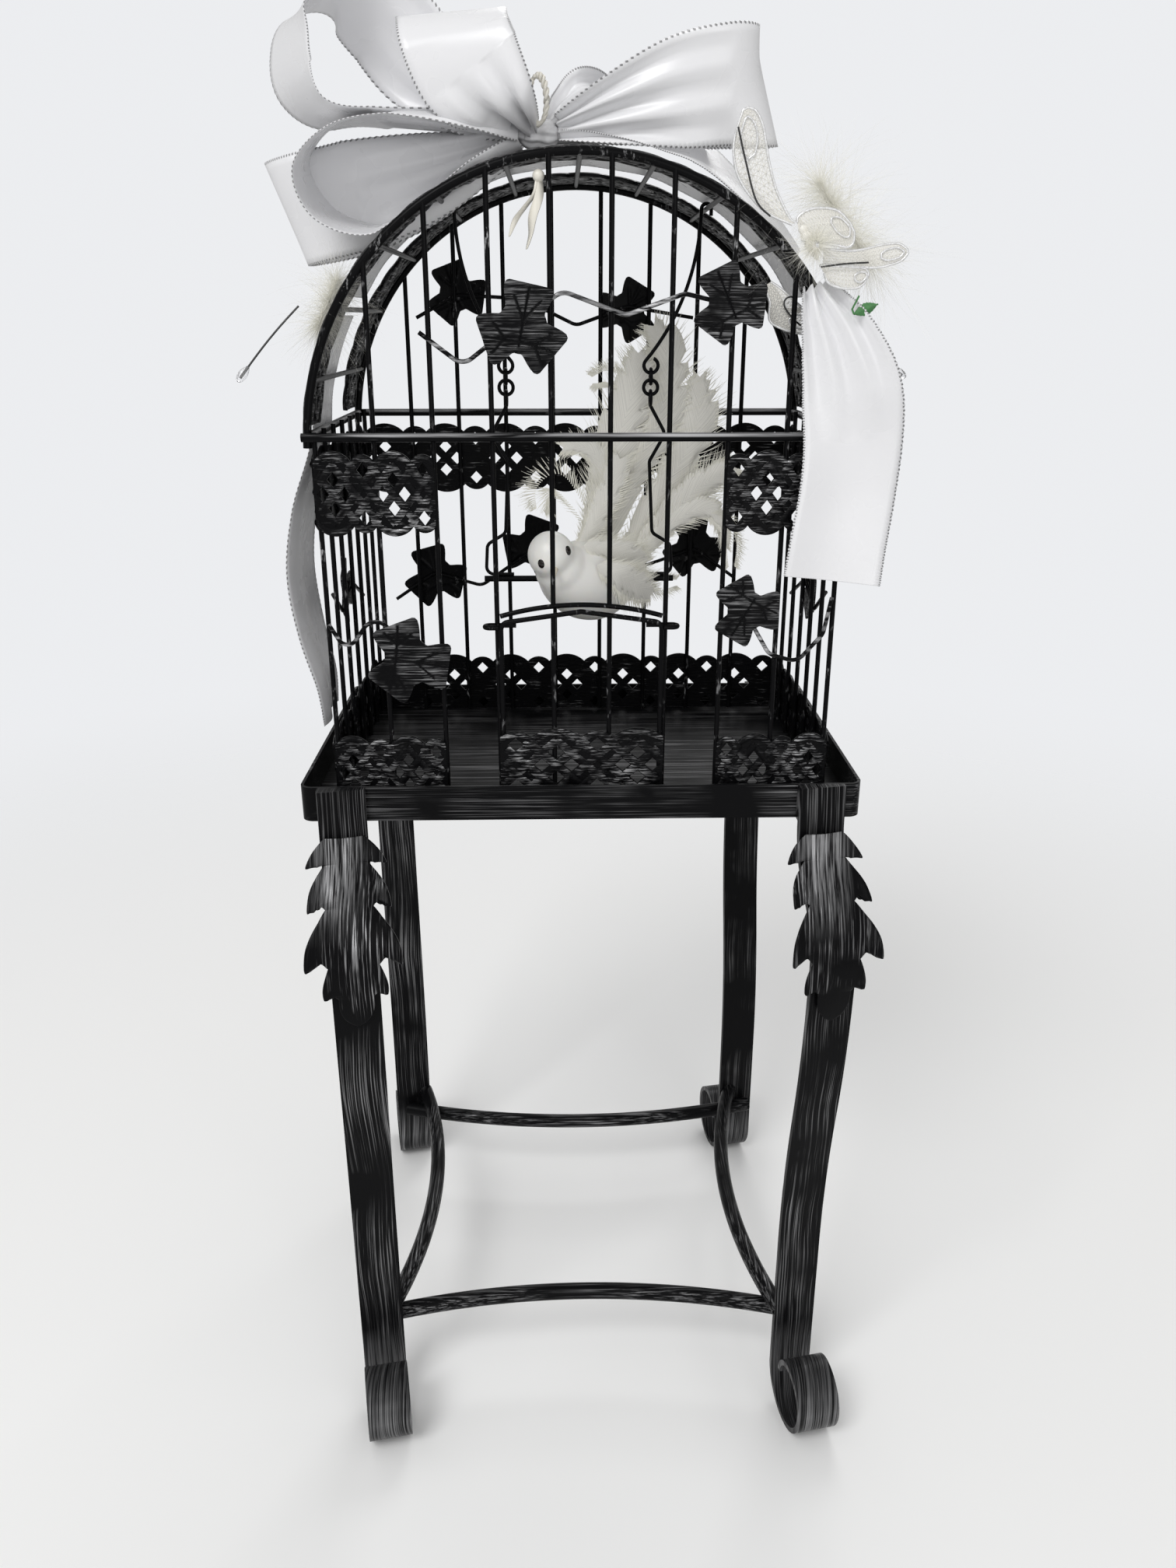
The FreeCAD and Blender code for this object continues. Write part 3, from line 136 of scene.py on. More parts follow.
feed(floor_finish, floor_nodes["Material Output"].inputs["Surface"], fade)
floor.data.materials.append(floor_finish)
print("floor of", len(floor.data.vertices), "corners")

# %% World
world = bpy.data.worlds.new("pale_room")
bpy.context.scene.world = world
world.use_nodes = True
sky = world.node_tree.nodes["Background"]
sky.inputs["Color"].default_value = (1, 1, 1, 1)
sky.inputs["Strength"].default_value = 0.5
seen = add_node(world, "ShaderNodeBackground", "Background", Color=(*PALE, 1))
rays = add_node(world, "ShaderNodeLightPath", "Is Camera Ray").node.outputs
either = maths(world, "MAXIMUM", rays["Is Camera Ray"], rays["Is Transmission Ray"])
choose = add_node(world, "ShaderNodeMixShader", "Shader", either, sky.outputs["Background"], seen)
feed(world, world.node_tree.nodes["World Output"].inputs["Surface"], choose)
print("world strength", sky.inputs["Strength"].default_value)

# %% Lamps
LAMP_AIM = Vector((0, 0, 0.45))


def soft_lamp(name, spot, size, power):
    """A square lamp that faces the middle of the object."""
    towards = LAMP_AIM - Vector(spot)
    bpy.ops.object.light_add(type="AREA", location=spot, rotation=towards.to_track_quat("-Z", "Y").to_euler())
    lamp = bpy.context.object
    lamp.name = name
    lamp.data.size = size
    lamp.data.energy = power
    return lamp


soft_lamp("key", (-0.9, -1.5, 2.1), 1.0, 26)
soft_lamp("fill", (0.5, -1.9, 0.75), 1.0, 6)
soft_lamp("back", (0.4, 1.5, 1.8), 1.0, 10)
print("lamps: key, fill, back")

# %% [markdown]
# ## Black paint rubbed with silver
# The whole cage and stand are painted black and then dry-brushed: silver catches the high spots in thin
# streaks along the stroke. A stretched noise makes the streaks, a broad noise makes some places brighter than
# others, and their product mixes black with silver. Each family of pieces is brushed in its own direction.

# %% Finish tools
def blend_colours(material, factor, first, second):
    """Two colours mixed by a factor."""
    made = material.node_tree.nodes.new("ShaderNodeMix")
    made.data_type = "RGBA"
    feed(material, made.inputs[0], factor)
    made.inputs[6].default_value = (*first, 1)
    made.inputs[7].default_value = (*second, 1)
    return made.outputs[2]


def plain_shader(name, colour, roughness, specular=0.5, **more):
    """A Principled material to build on, and its shader node; more sockets are set by name."""
    material = bpy.data.materials.new(name)
    material.use_nodes = True
    shader = material.node_tree.nodes["Principled BSDF"]
    shader.inputs["Base Color"].default_value = (*colour, 1)
    shader.inputs["Roughness"].default_value = roughness
    shader.inputs["Specular IOR Level"].default_value = specular
    for socket, value in more.items():
        shader.inputs[socket.replace("_", " ")].default_value = value
    return material, shader


def raise_bump(material, shader, height, strength, distance):
    """Let a height tilt the surface's shading."""
    bump = add_node(material, "ShaderNodeBump", "Normal", Height=height, Strength=strength, Distance=distance)
    feed(material, shader.inputs["Normal"], bump)


print("finish tools: blend_colours, plain_shader, raise_bump")

# %% Rubbed finish
BLACK = (0.004, 0.004, 0.0045)
SILVER = (0.5, 0.5, 0.51)
SILVER_METAL = 0.55
RAIL_Z = 549.0


def rubbed_black(name, strokes, cover, brightness=1.0, patch=22.0, bump=0.25, swirl=0.0, rub_and_highlight_z=None, core=None):
    """Black paint with silver strokes; strokes is the noise scale along X, Y and Z, small along the stroke.

    The strokes wander by swirl metres. Between a low and a high Z, when given, extra silver is painted, fullest
    halfway up, that is part dry-brush rub and part painted highlight; a core, a distance from the middle plane
    with a half width, keeps that band near one line.
    """
    material, shader = plain_shader(name, BLACK, 0.3, specular=0.06)
    place = add_node(material, "ShaderNodeTexCoord", "Object")
    wander = add_node(material, "ShaderNodeTexNoise", "Color", place, Scale=16.0, Detail=1.0)
    bent = add_node(material, "ShaderNodeVectorMath", "Vector", wander, (swirl, swirl, swirl), place,
                    operation="MULTIPLY_ADD")
    stretch = add_node(material, "ShaderNodeMapping", "Vector", bent, Scale=strokes)
    hair = add_node(material, "ShaderNodeTexNoise", "Fac", stretch, Scale=1.0, Detail=3.0, Roughness=0.6,
                    Distortion=0.2)
    broad = add_node(material, "ShaderNodeTexNoise", "Fac", place, Scale=patch, Detail=3.0, Roughness=0.55)
    hair_edge = ramp(material, hair, 0.62 - 0.16 * cover, 0.74 - 0.1 * cover)
    broad_edge = ramp(material, broad, 0.6 - 0.3 * cover, 0.72 - 0.1 * cover)
    amount = maths(material, "MULTIPLY", hair_edge, broad_edge)
    # Extra silver between the given heights, and near the given plane when a core is set: part dry-brush rub, part
    # painted highlight.
    if rub_and_highlight_z:
        middle = sum(rub_and_highlight_z) / 2
        axes = add_node(material, "ShaderNodeSeparateXYZ", "X", place).node.outputs
        rise = ramp(material, axes["Z"], rub_and_highlight_z[0], middle)
        fall = ramp(material, axes["Z"], rub_and_highlight_z[1], middle)
        where = maths(material, "MULTIPLY", rise, fall)
        if core:
            aside = maths(material, "SUBTRACT", maths(material, "ABSOLUTE", axes["X"]), core[0])
            near = ramp(material, maths(material, "ABSOLUTE", aside), 0.3 * core[1], core[1], 1.0, 0.0)
            where = maths(material, "MULTIPLY", near, where)
        rubbed = maths(material, "MULTIPLY", where, ramp(material, hair, 0.4, 0.68))
        amount = maths(material, "MAXIMUM", rubbed, amount)
    paint = blend_colours(material, amount, BLACK, [c * brightness for c in SILVER])
    feed(material, shader.inputs["Base Color"], paint)
    feed(material, shader.inputs["Metallic"], maths(material, "MULTIPLY", amount, SILVER_METAL))
    raise_bump(material, shader, hair, bump, 0.0004)
    return material


print("rubbed finish ready")

# %% Paints
# Extra silver on the feet, up to 52 mm, is part rub and part painted highlight on the scroll.
leg_paint = rubbed_black("leg_paint", (1500, 24, 13), 0.64, 0.5, patch=16, swirl=0.006, rub_and_highlight_z=(-0.002, 0.052))
# Extra silver over the upper half of each leaf near its middle line is a painted highlight on its crown, with some
# rub.
acanthus_paint = rubbed_black("acanthus_paint", (1100, 60, 24), 0.45, 1.0, patch=24,
                              rub_and_highlight_z=(0.312, 0.398), core=(0.1215, 0.015))
rod_paint = rubbed_black("rod_paint", (14, 900, 1200), 0.7, 0.45, patch=16)
side_rod_paint = rubbed_black("side_rod_paint", (900, 14, 1200), 0.7, 0.45, patch=16)
tray_paint = rubbed_black("tray_paint", (13, 500, 1700), 0.66, 0.52, patch=16)
floor_paint = rubbed_black("floor_paint", (13, 700, 1500), 0.8, 0.3, patch=16)
wire_paint = rubbed_black("wire_paint", (500, 500, 160), 0.3, 0.9, patch=60)
strip_paint = rubbed_black("strip_paint", (110, 110, 1200), 0.35, 0.5, patch=90, bump=0.6)
relief_paint = rubbed_black("relief_paint", (130, 130, 1500), 0.76, 0.8, patch=70, bump=0.7)
# The front vines get more and brighter silver than the back and side vines, partly as painted highlight.
vine_paint = rubbed_black("vine_paint", (60, 400, 400), 1.0, 1.3, patch=40)
# A thin band of extra silver along the top of the rail is a painted highlight.
rail_paint = rubbed_black("rail_paint", (14, 14, 300), 0.3, 1.4, patch=30,
                          rub_and_highlight_z=(RAIL_Z * 0.001, RAIL_Z * 0.001 + 0.0022))
leaf_paint = rubbed_black("leaf_paint", (50, 700, 1500), 0.85, 0.5, patch=60, bump=0.5)
dark_paint = rubbed_black("dark_paint", (200, 200, 200), 0.1, 0.5, patch=40)
print("rubbed finishes:", [m.name for m in bpy.data.materials if m.name.endswith("_paint")])

# %% Dress the frame
LEGS = [f"leg_{end}_{side}" for end in ("front", "back") for side in ("left", "right")]
WIRES = ["base_frame", "front_bars", "back_bars", "side_bars", "front_arch", "back_arch", "roof_rods",
         "door_header", "door_frame", "door_bars", "door_hooks", "back_vines", "side_vines"]
STRIPS = ["front_arch_band", "back_arch_band", "base_strips_front", "base_strip_back", "base_strips_side",
          "waist_strips_front", "waist_strip_back", "waist_strips_side", "door_strip"]
SWING = ["swing_hangers", "swing_rings", "swing_sides", "swing_perch"]
DRESSED = ((LEGS, leg_paint), (["stretcher_front", "stretcher_back"], rod_paint),
           (["stretcher_left", "stretcher_right"], side_rod_paint), (["stand_tray"], tray_paint),
           (["cage_floor"], floor_paint), (WIRES, wire_paint), (["front_vines"], vine_paint),
           (["waist_rail"], rail_paint), (STRIPS, strip_paint), (SWING, dark_paint))


def dress(nodes, material):
    """Give CAD nodes a finish by their material slots."""
    for name in nodes:
        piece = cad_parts[name]
        if piece.data.materials:
            for i in range(len(piece.data.materials)):
                piece.data.materials[i] = material
        else:
            piece.data.materials.append(material)


for nodes, paint in DRESSED:
    dress(nodes, paint)
print("pieces dressed in paint:", sum(len(nodes) for nodes, _ in DRESSED))

# %% [markdown]
# ## Tools for shapes
# New pieces come about in a few ways: a cord along a line, patches of rows, or a ball that is pressed into shape.
# A sheet gets its thickness from the Solidify modifier. Every finished piece is handed over to the frame, which
# learns the body that it rides on and the plain pieces that it stands for.

# %% Shared tools
def hand_over(piece, body, slot, finish, *nodes):
    """Give a new piece its finish, its body and the CAD nodes it stands for."""
    if finish:
        piece.data.materials.clear()
        piece.data.materials.append(finish)
    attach(piece, body)
    if nodes:
        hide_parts(*nodes)
    bpy.ops.object.select_all(action="DESELECT")
    return piece


def place_new(name, data):
    """A new object that alone is selected and active."""
    piece = bpy.data.objects.new(name, data)
    bpy.context.collection.objects.link(piece)
    bpy.ops.object.select_all(action="DESELECT")
    piece.select_set(True)
    bpy.context.view_layer.objects.active = piece
    return piece


def thicken(piece, thickness, offset=-1):
    """Give the active sheet a thickness in mm, to one side or, with an offset of 0, to both."""
    sheet = piece.modifiers.new("thickness", "SOLIDIFY")
    sheet.thickness = thickness * MM
    sheet.offset = offset
    bpy.ops.object.modifier_apply(modifier="thickness")


print("shape tools: hand_over, place_new, thicken")

# %% Patch tools
def patch_mesh(name, patches):
    """One smooth piece of patches, each a list of rows of points in mm; its UV map runs over every patch."""
    corners, faces, spots = [], [], []
    for rows in patches:
        first, wide = len(corners), len(rows[0])
        for r, row in enumerate(rows):
            corners += [point * MM for point in row]
            spots += [(c / (wide - 1), r / (len(rows) - 1)) for c in range(wide)]
        for r in range(len(rows) - 1):
            for a in range(first + r * wide, first + (r + 1) * wide - 1):
                faces.append((a, a + 1, a + wide + 1, a + wide))
    mesh = bpy.data.meshes.new(name)
    mesh.from_pydata(corners, [], faces)
    layer = mesh.uv_layers.new(name="UVMap")
    for corner in mesh.loops:
        layer.data[corner.index].uv = spots[corner.vertex_index]
    piece = place_new(name, mesh)
    bpy.ops.object.shade_smooth()
    return piece


def through(rows, steps):
    """Rows of numbers along a smooth curve through a few control rows."""
    found = []
    last = len(rows) - 1
    for k in range(steps + 1):
        t = last * k / steps
        i = min(int(t), last - 1)
        f = t - i
        a, b, c, d = (rows[max(0, min(last, j))] for j in (i - 1, i, i + 1, i + 2))
        found.append([0.5 * (2 * q + (r - p) * f + (2 * p - 5 * q + 4 * r - s) * f ** 2
                             + (3 * q - p - 3 * r + s) * f ** 3) for p, q, r, s in zip(a, b, c, d)])
    return found


print("patch tools: patch_mesh, through")

# %% [markdown]
# ## Acanthus leaves on the legs
# Each front leg wears a pressed leaf with four pairs of curled lobes and a tongue that runs down the strap. A flat
# cut-out with a bend would look like tin. So rows are drawn from the leaf's spine to its edge, the way its veins
# run: each row slopes down into its lobe, the middle is crowned over the strap, and every lobe is a ridge whose
# tip lifts off. The leaf follows the strap's own bends and takes its place from the plain leaf that it replaces.

# %% Strap and lobes
LEAF_TOP, LEAF_LENGTH, LEAF_HALF = 358.0, 92.0, 24.0
LEG_FACING = math.radians(-79)
STRAP_HALF, LEAF_SHEET, CLEARANCE = 1.5, 1.2, 0.1
CROWN, TIP_LIFT, RIDGE = 2.8, 2.6, 1.3
# The strap's centre line, out and up in mm: straight to the shoulder, two bends to the knee, a long one below it
SHOULDER, KNEE = (1.5, 364.0), (29.5, 295.0)
BEND, SHIN = 49.5, 605.4
# Each lobe's edge from its upper notch to its lower one: share of the length, share of the half width
LOBES = (((0, 0.40), (0.03, 0.52), (0.08, 0.68), (0.13, 0.79), (0.165, 0.83), (0.158, 0.70), (0.143, 0.54)),
         ((0.15, 0.44), (0.19, 0.55), (0.24, 0.70), (0.30, 0.81), (0.37, 0.86), (0.357, 0.74), (0.345, 0.58)),
         ((0.36, 0.48), (0.41, 0.66), (0.47, 0.84), (0.54, 0.97), (0.63, 1.0), (0.605, 0.85), (0.595, 0.68)),
         ((0.63, 0.52), (0.68, 0.60), (0.73, 0.66), (0.77, 0.68), (0.81, 0.66), (0.798, 0.56), (0.79, 0.45)),
         ((0.81, 0.36), (0.86, 0.36), (0.90, 0.34), (0.94, 0.28), (0.97, 0.19), (0.99, 0.09), (1.0, 0.02)))


def strap_spot(z, proud):
    """A point that stands proud of the strap's centre line at a height, out and up in mm."""
    if z > (SHOULDER[1] + KNEE[1]) / 2:
        lean = max(0, (SHOULDER[1] - z) / BEND)
        out = SHOULDER[0] + BEND * (1 - math.sqrt(1 - lean ** 2))
    elif z > KNEE[1]:
        lean = (z - KNEE[1]) / BEND
        out = KNEE[0] - BEND * (1 - math.sqrt(1 - lean ** 2))
    else:
        lean = (z - KNEE[1]) / SHIN
        out = KNEE[0] - SHIN * (1 - math.sqrt(1 - lean ** 2))
    return out + proud * math.sqrt(1 - lean ** 2), z + proud * lean


print("pairs of lobes on a leaf:", len(LOBES) - 1)

# %% Acanthus leaves
def acanthus(side):
    """A leaf bent to the outer face of one front leg."""
    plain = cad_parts[f"leg_leaf_{side}"]
    out_way = np.array((math.cos(LEG_FACING), math.sin(LEG_FACING), 0))
    across_way = np.array((-out_way[1], out_way[0], 0))
    corners = np.array([corner.co for corner in plain.data.vertices]) / MM
    middle = (corners @ across_way).max() / 2 + (corners @ across_way).min() / 2
    lowest = corners[:, 2].argmin()
    start = corners[lowest] @ out_way - strap_spot(corners[lowest][2], STRAP_HALF + LEAF_SHEET / 2)[0]
    rows = []
    for lobe, edge in enumerate(LOBES):
        after = LOBES[lobe + 1][0] if lobe + 1 < len(LOBES) else (1.0, 0)
        line = through(edge + (after,), 4 * len(edge))
        for k, (down, wide) in enumerate(line[:-1]):
            phase = k / (len(line) - 1)
            spine = edge[0][0] + (after[0] - edge[0][0]) * phase
            row = []
            for f in np.linspace(-1, 1, 25):
                share = spine + (down - spine) * abs(f) ** 1.4
                across = f * wide * LEAF_HALF
                crown = CROWN * math.cos(math.pi / 2 * min(1, abs(across) / 15)) * (1 - share ** 6)
                tip = TIP_LIFT * max(0, (abs(across) - 11) / 13) ** 1.6
                ridge = RIDGE * math.sin(math.pi * phase) * abs(f) * (1 if lobe < 4 else 0)
                proud = STRAP_HALF + LEAF_SHEET + CLEARANCE + crown + tip + ridge
                out, z = strap_spot(LEAF_TOP - LEAF_LENGTH * share, proud)
                row.append(out_way * (start + out) + across_way * (middle + across) + np.array((0, 0, z)))
            rows.append(row)
    return patch_mesh(f"acanthus_{side}", [rows])


for side in ("left", "right"):
    leaf = acanthus(side)
    thicken(leaf, LEAF_SHEET)
    hand_over(leaf, "stand", "stand_black", acanthus_paint, f"leg_leaf_{side}")
    print(leaf.name, len(leaf.data.polygons), "faces")

# %% [markdown]
# ## Ivy leaves
# Every vine carries thick three-lobed leaves with blunt, rounded ends and grooved veins. A grid is wrapped round
# its own middle, merged at the seam and pushed to the leaf's outline. The depth of the nearest vein is kept
# on the mesh, and it sinks the surface and keeps the silver brush out of the groove.

# %% Ivy outline
FRONT_LEAVES = [(-26, 47, 20, 12), (66, 57, 17, -25), (-84, -105, 21, 100), (80, -81, 17, -150)]
BACK_LEAVES = [(67, 64, 17, 20), (-29, 55, 17, -30), (86, -95, 19, 15), (26, -78, 19, -20), (-71, -78, 19, 10)]
SIDE_LEAF = (0, -87, 17, 25)
LEAF_PLANE, SIDE_SHIFT = -79.4, 46.4
VEINS = [((0, -0.4), (0, 0.82)), ((0, -0.3), (0.78, -0.36)), ((0, -0.3), (-0.78, -0.36)), ((0, 0.15), (0.3, 0.62)),
         ((0, 0.15), (-0.3, 0.62)), ((0.3, -0.33), (0.66, -0.02)), ((-0.3, -0.33), (-0.66, -0.02)),
         ((0.35, -0.33), (0.56, -0.66)), ((-0.35, -0.33), (-0.56, -0.66))]


def leaf_edge(angle):
    """How far a leaf of size 1 reaches in a direction: three blunt lobes with bays between them."""
    off = abs((math.degrees(angle) - 90 + 60) % 120 - 60)
    bay = min(1, max(0, (off - 26) / 26))
    bay = bay * bay * (3 - 2 * bay)
    return (0.92 / math.cos(math.radians(min(off, 34)))) * (1 - bay) + 0.56 * bay


def vein_depth(x, z):
    """One in the middle of a vein and nothing away from it."""
    depth = 0
    for (ax, az), (bx, bz) in VEINS:
        start, run = Vector((ax, az)), Vector((bx - ax, bz - az))
        t = max(0, min(1, (Vector((x, z)) - start).dot(run) / run.dot(run)))
        depth = max(depth, 1 - (Vector((x, z)) - start - run * t).length / 0.06)
    return max(0, depth)


print("veins in an ivy leaf:", len(VEINS))

# %% One ivy leaf
def ivy_leaf(name, x, z, size, turn):
    """One leaf on the front of the cage, as thick as the plate in the frame."""
    bpy.ops.mesh.primitive_grid_add(x_subdivisions=96, y_subdivisions=18, size=2)
    leaf = bpy.context.object
    leaf.name = name
    for corner in leaf.data.vertices:
        angle = math.pi * (corner.co.x + 1)
        reach = leaf_edge(angle) * (1 - corner.co.y) / 2
        corner.co = (reach * math.cos(angle), 0, reach * math.sin(angle))
    bpy.ops.object.mode_set(mode="EDIT")
    bpy.ops.mesh.select_all(action="SELECT")
    bpy.ops.mesh.remove_doubles(threshold=0.0005)
    bpy.ops.mesh.normals_make_consistent(inside=False)
    bpy.ops.object.mode_set(mode="OBJECT")
    groove = leaf.data.attributes.new("groove", "FLOAT", "POINT")
    a = math.radians(turn)
    for i, corner in enumerate(leaf.data.vertices):
        u, w = corner.co.x, corner.co.z
        groove.data[i].value = vein_depth(u, w)
        bulge = 0.05 * (u * u + w * w) - 0.06 + 0.028 * groove.data[i].value
        spot = Vector((u * math.cos(a) + w * math.sin(a), bulge, w * math.cos(a) - u * math.sin(a))) * size
        corner.co = (spot + Vector((x, LEAF_PLANE, RAIL_Z + z))) * MM
    thicken(leaf, 1.0, 0)
    bpy.ops.object.shade_smooth_by_angle(angle=0.8)
    return leaf


print("ivy leaf tool ready")

# %% Ivy leaves
def join(name, parts):
    """Several pieces made one object."""
    bpy.ops.object.select_all(action="DESELECT")
    for part in parts:
        part.select_set(True)
    bpy.context.view_layer.objects.active = parts[0]
    bpy.ops.object.join()
    joined = bpy.context.object
    joined.name = name
    return joined


def veined(material):
    """Keep the silver of a rubbed finish out of the grooves."""
    mix = next(n for n in material.node_tree.nodes if n.bl_idname == "ShaderNodeMix")
    before = mix.inputs[0].links[0].from_socket
    groove = add_node(material, "ShaderNodeAttribute", "Fac")
    groove.node.attribute_name = "groove"
    clean = ramp(material, groove, 0.1, 0.6, 1.0, 0.0)
    feed(material, mix.inputs[0], maths(material, "MULTIPLY", before, clean))


veined(leaf_paint)
front = [ivy_leaf(f"leaf_{i}", *row) for i, row in enumerate(FRONT_LEAVES)]
back = [ivy_leaf(f"back_leaf_{i}", *row) for i, row in enumerate(BACK_LEAVES)]
for leaf in back:
    leaf.data.transform(Matrix.Rotation(math.pi, 4, "Z"))
sides = [ivy_leaf(f"side_leaf_{i}", *SIDE_LEAF) for i in range(2)]
for leaf, way in zip(sides, (1, -1)):
    shift = Matrix.Translation((way * SIDE_SHIFT * MM, 0, 0))
    leaf.data.transform(shift @ Matrix.Rotation(way * math.pi / 2, 4, "Z"))
# The back leaves get the nearly plain black finish as painted shade, while the front and side leaves are brushed.
for name, leaves, finish in (("front", front, leaf_paint), ("back", back, dark_paint),
                             ("side", sides, leaf_paint)):
    hand_over(join(f"ivy_{name}", leaves), "cage", "vine_metal", finish, f"{name}_leaves")
print("ivy leaves:", len(FRONT_LEAVES), "front,", len(BACK_LEAVES), "back, 2 side")

# %% [markdown]
# ## Relief on the pierced strips
# The sheet strips are pressed so that bands seem to plait round their diamond holes. In the frame they are flat,
# so domed bands are laid on the face of each strip: diagonals that cross over and under between the holes, and a
# rim along every scallop. Real bands catch the light on each rise, which a painted pattern can't do.

# %% Strip bands
CELL = 36.0
DIAGONALS = [2.04, 11.64, 24.84, 38.04]
ARCH_Z = 540.7
STRIP_MIDDLE = 19.5
BAND_HALF, RIM_HALF = 1.35, 1.6


def crossings(u):
    """How many diagonals lie before a place along a strip: a whole number on each of them."""
    cell, rest = divmod(u - DIAGONALS[0], CELL)
    rest += DIAGONALS[0]
    k = max(j for j in range(3) if DIAGONALS[j] <= rest + 1e-6)
    return 3 * cell + k + (rest - DIAGONALS[k]) / (DIAGONALS[k + 1] - DIAGONALS[k])


def raised(length, spot):
    """Patches over one strip; spot turns a place along it, a place up it and a height off it into a point."""
    cells = max(2, round(length / CELL))
    squeeze = length / (cells * CELL)
    lines = []
    for n in range(-3, 3 * cells + 3):
        foot = DIAGONALS[n % 3] + CELL * (n // 3)
        for lean in (-1, 1):
            line = []
            for v in (-13.5 + 27 * j / 24 for j in range(25)):
                over = 0.3 * lean * math.cos(math.pi * (crossings(foot + 2 * lean * v) + n))
                if RIM_HALF < foot + lean * v < cells * CELL - RIM_HALF:
                    line.append([(foot + lean * v + BAND_HALF * w, v - BAND_HALF * lean * w,
                                  0.2 + 0.55 * (1 - w * w) + over) for w in (-1, -0.5, 0, 0.5, 1)])
            lines.append(line)
    for cell in range(cells):
        for begin, end, rise in ((0, 0.38, 3.0), (0.38, 1, 4.5)):
            for up in (-1, 1):
                line = []
                for t in (j / 16 for j in range(17)):
                    crown = up * (13.2 + 4 * rise * t * (1 - t))
                    u = CELL * (cell + begin + (end - begin) * t)
                    line.append([(u, crown + RIM_HALF * w, 0.2 + 0.6 * (1 - w * w))
                                 for w in (1, 0.5, 0, -0.5, -1)])
                lines.append(line)
    base = spot(0, 0, 0)
    outward = (spot(1, 0, 0) - base).cross(spot(0, 1, 0) - base).dot(spot(0, 0, 1) - base) > 0
    return [[[spot(u * squeeze, v, h) for u, v, h in (row if outward else row[::-1])] for row in line]
            for line in lines if len(line) > 2]


print("strip cells of", CELL, "mm")

# %% Strip shapes
def flat_strip(start, along, out):
    """The spot of a strip that stands upright and straight."""
    return lambda u, v, h: start + along * u + Vector((0, 0, v)) + out * h


def bent_strip(turn):
    """The spot of the strip over an arch, for the front one or, turned, for the back one."""
    low, high = (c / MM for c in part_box("front_arch_band"))
    radius = high.z - ARCH_Z
    first = math.asin(12 / (radius - 1))
    spin = Matrix.Rotation(turn, 3, "Z")

    def spot(u, v, h):
        angle = first + u / radius
        return spin @ Vector(((radius + h) * math.cos(angle), low.y + STRIP_MIDDLE + v,
                              ARCH_Z + (radius + h) * math.sin(angle)))

    return spot, (math.pi - 2 * first) * radius


print("strip shapes: flat_strip, bent_strip")

# %% Strip relief
FRONT, BACK, RIGHT, LEFT = Vector((0, -1, 0)), Vector((0, 1, 0)), Vector((1, 0, 0)), Vector((-1, 0, 0))
# Each flat strip: its length, where it starts, the way it runs and the way it faces
FLAT_STRIPS = ((55.2, (-68.2, -78.2), LEFT, FRONT), (55.2, (68.2, -78.2), RIGHT, FRONT),
               (244.4, (122.2, 78.2), LEFT, BACK), (151.6, (124.6, -75.8), BACK, RIGHT),
               (151.6, (-124.6, -75.8), BACK, LEFT))
patches = []
for node in ("base_strips_front", "waist_strips_front"):
    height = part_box(node)[0].z / MM + STRIP_MIDDLE
    for length, start, along, out in FLAT_STRIPS:
        patches += raised(length, flat_strip(Vector((*start, height)), along, out))
for turn in (0, math.pi):
    spot, length = bent_strip(turn)
    patches += raised(length, spot)
    patches += raised(length, lambda u, v, h: spot(u, v, -1.0 - h))
relief = hand_over(patch_mesh("strip_relief", patches), "cage", "filigree", relief_paint)
door_low, door_high = (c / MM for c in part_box("door_strip"))
door_start = Vector((door_low.x, door_low.y, (door_low.z + door_high.z) / 2))
patches = raised(door_high.x - door_low.x, flat_strip(door_start, RIGHT, FRONT))
door_relief = hand_over(patch_mesh("door_relief", patches), "door", "filigree", relief_paint)
print("relief of", len(relief.data.polygons) + len(door_relief.data.polygons), "faces")

# %% [markdown]
# ## Satin ribbon
# The bow, the ribbon over the roof and the two tails are one kind of white satin, 46 mm wide, with a picot edge
# of tiny teeth. Satin is smooth along its warp, so broad soft highlights run across each curve. A cloth
# simulation tends to lose the crisp loops of a tied bow, so each ribbon is a fine grid laid along a guide line.
# Where the ribbon is gathered, it is pleated just enough to keep its cut width.

# %% Noise tools
def own_noise(material, scale, detail):
    """Noise that keeps its place on the piece."""
    place = add_node(material, "ShaderNodeTexCoord", "Object")
    return add_node(material, "ShaderNodeTexNoise", "Fac", place, Scale=scale, Detail=detail)


def vary_gloss(material, shader, scale, smooth, rough):
    """Let noise move the roughness between two values."""
    fleck = own_noise(material, scale, 2.0)
    feed(material, shader.inputs["Roughness"], ramp(material, fleck, 0.0, 1.0, smooth, rough))


def from_middle(material, share):
    """How far a share of the width lies from the middle."""
    return maths(material, "ABSOLUTE", maths(material, "SUBTRACT", share, 0.5))


print("noise tools: own_noise, vary_gloss, from_middle")

# %% Satin finish
RIBBON, RIBBON_SHEET, DEEPEST_PLEAT = 46.0, 0.35, 3.2


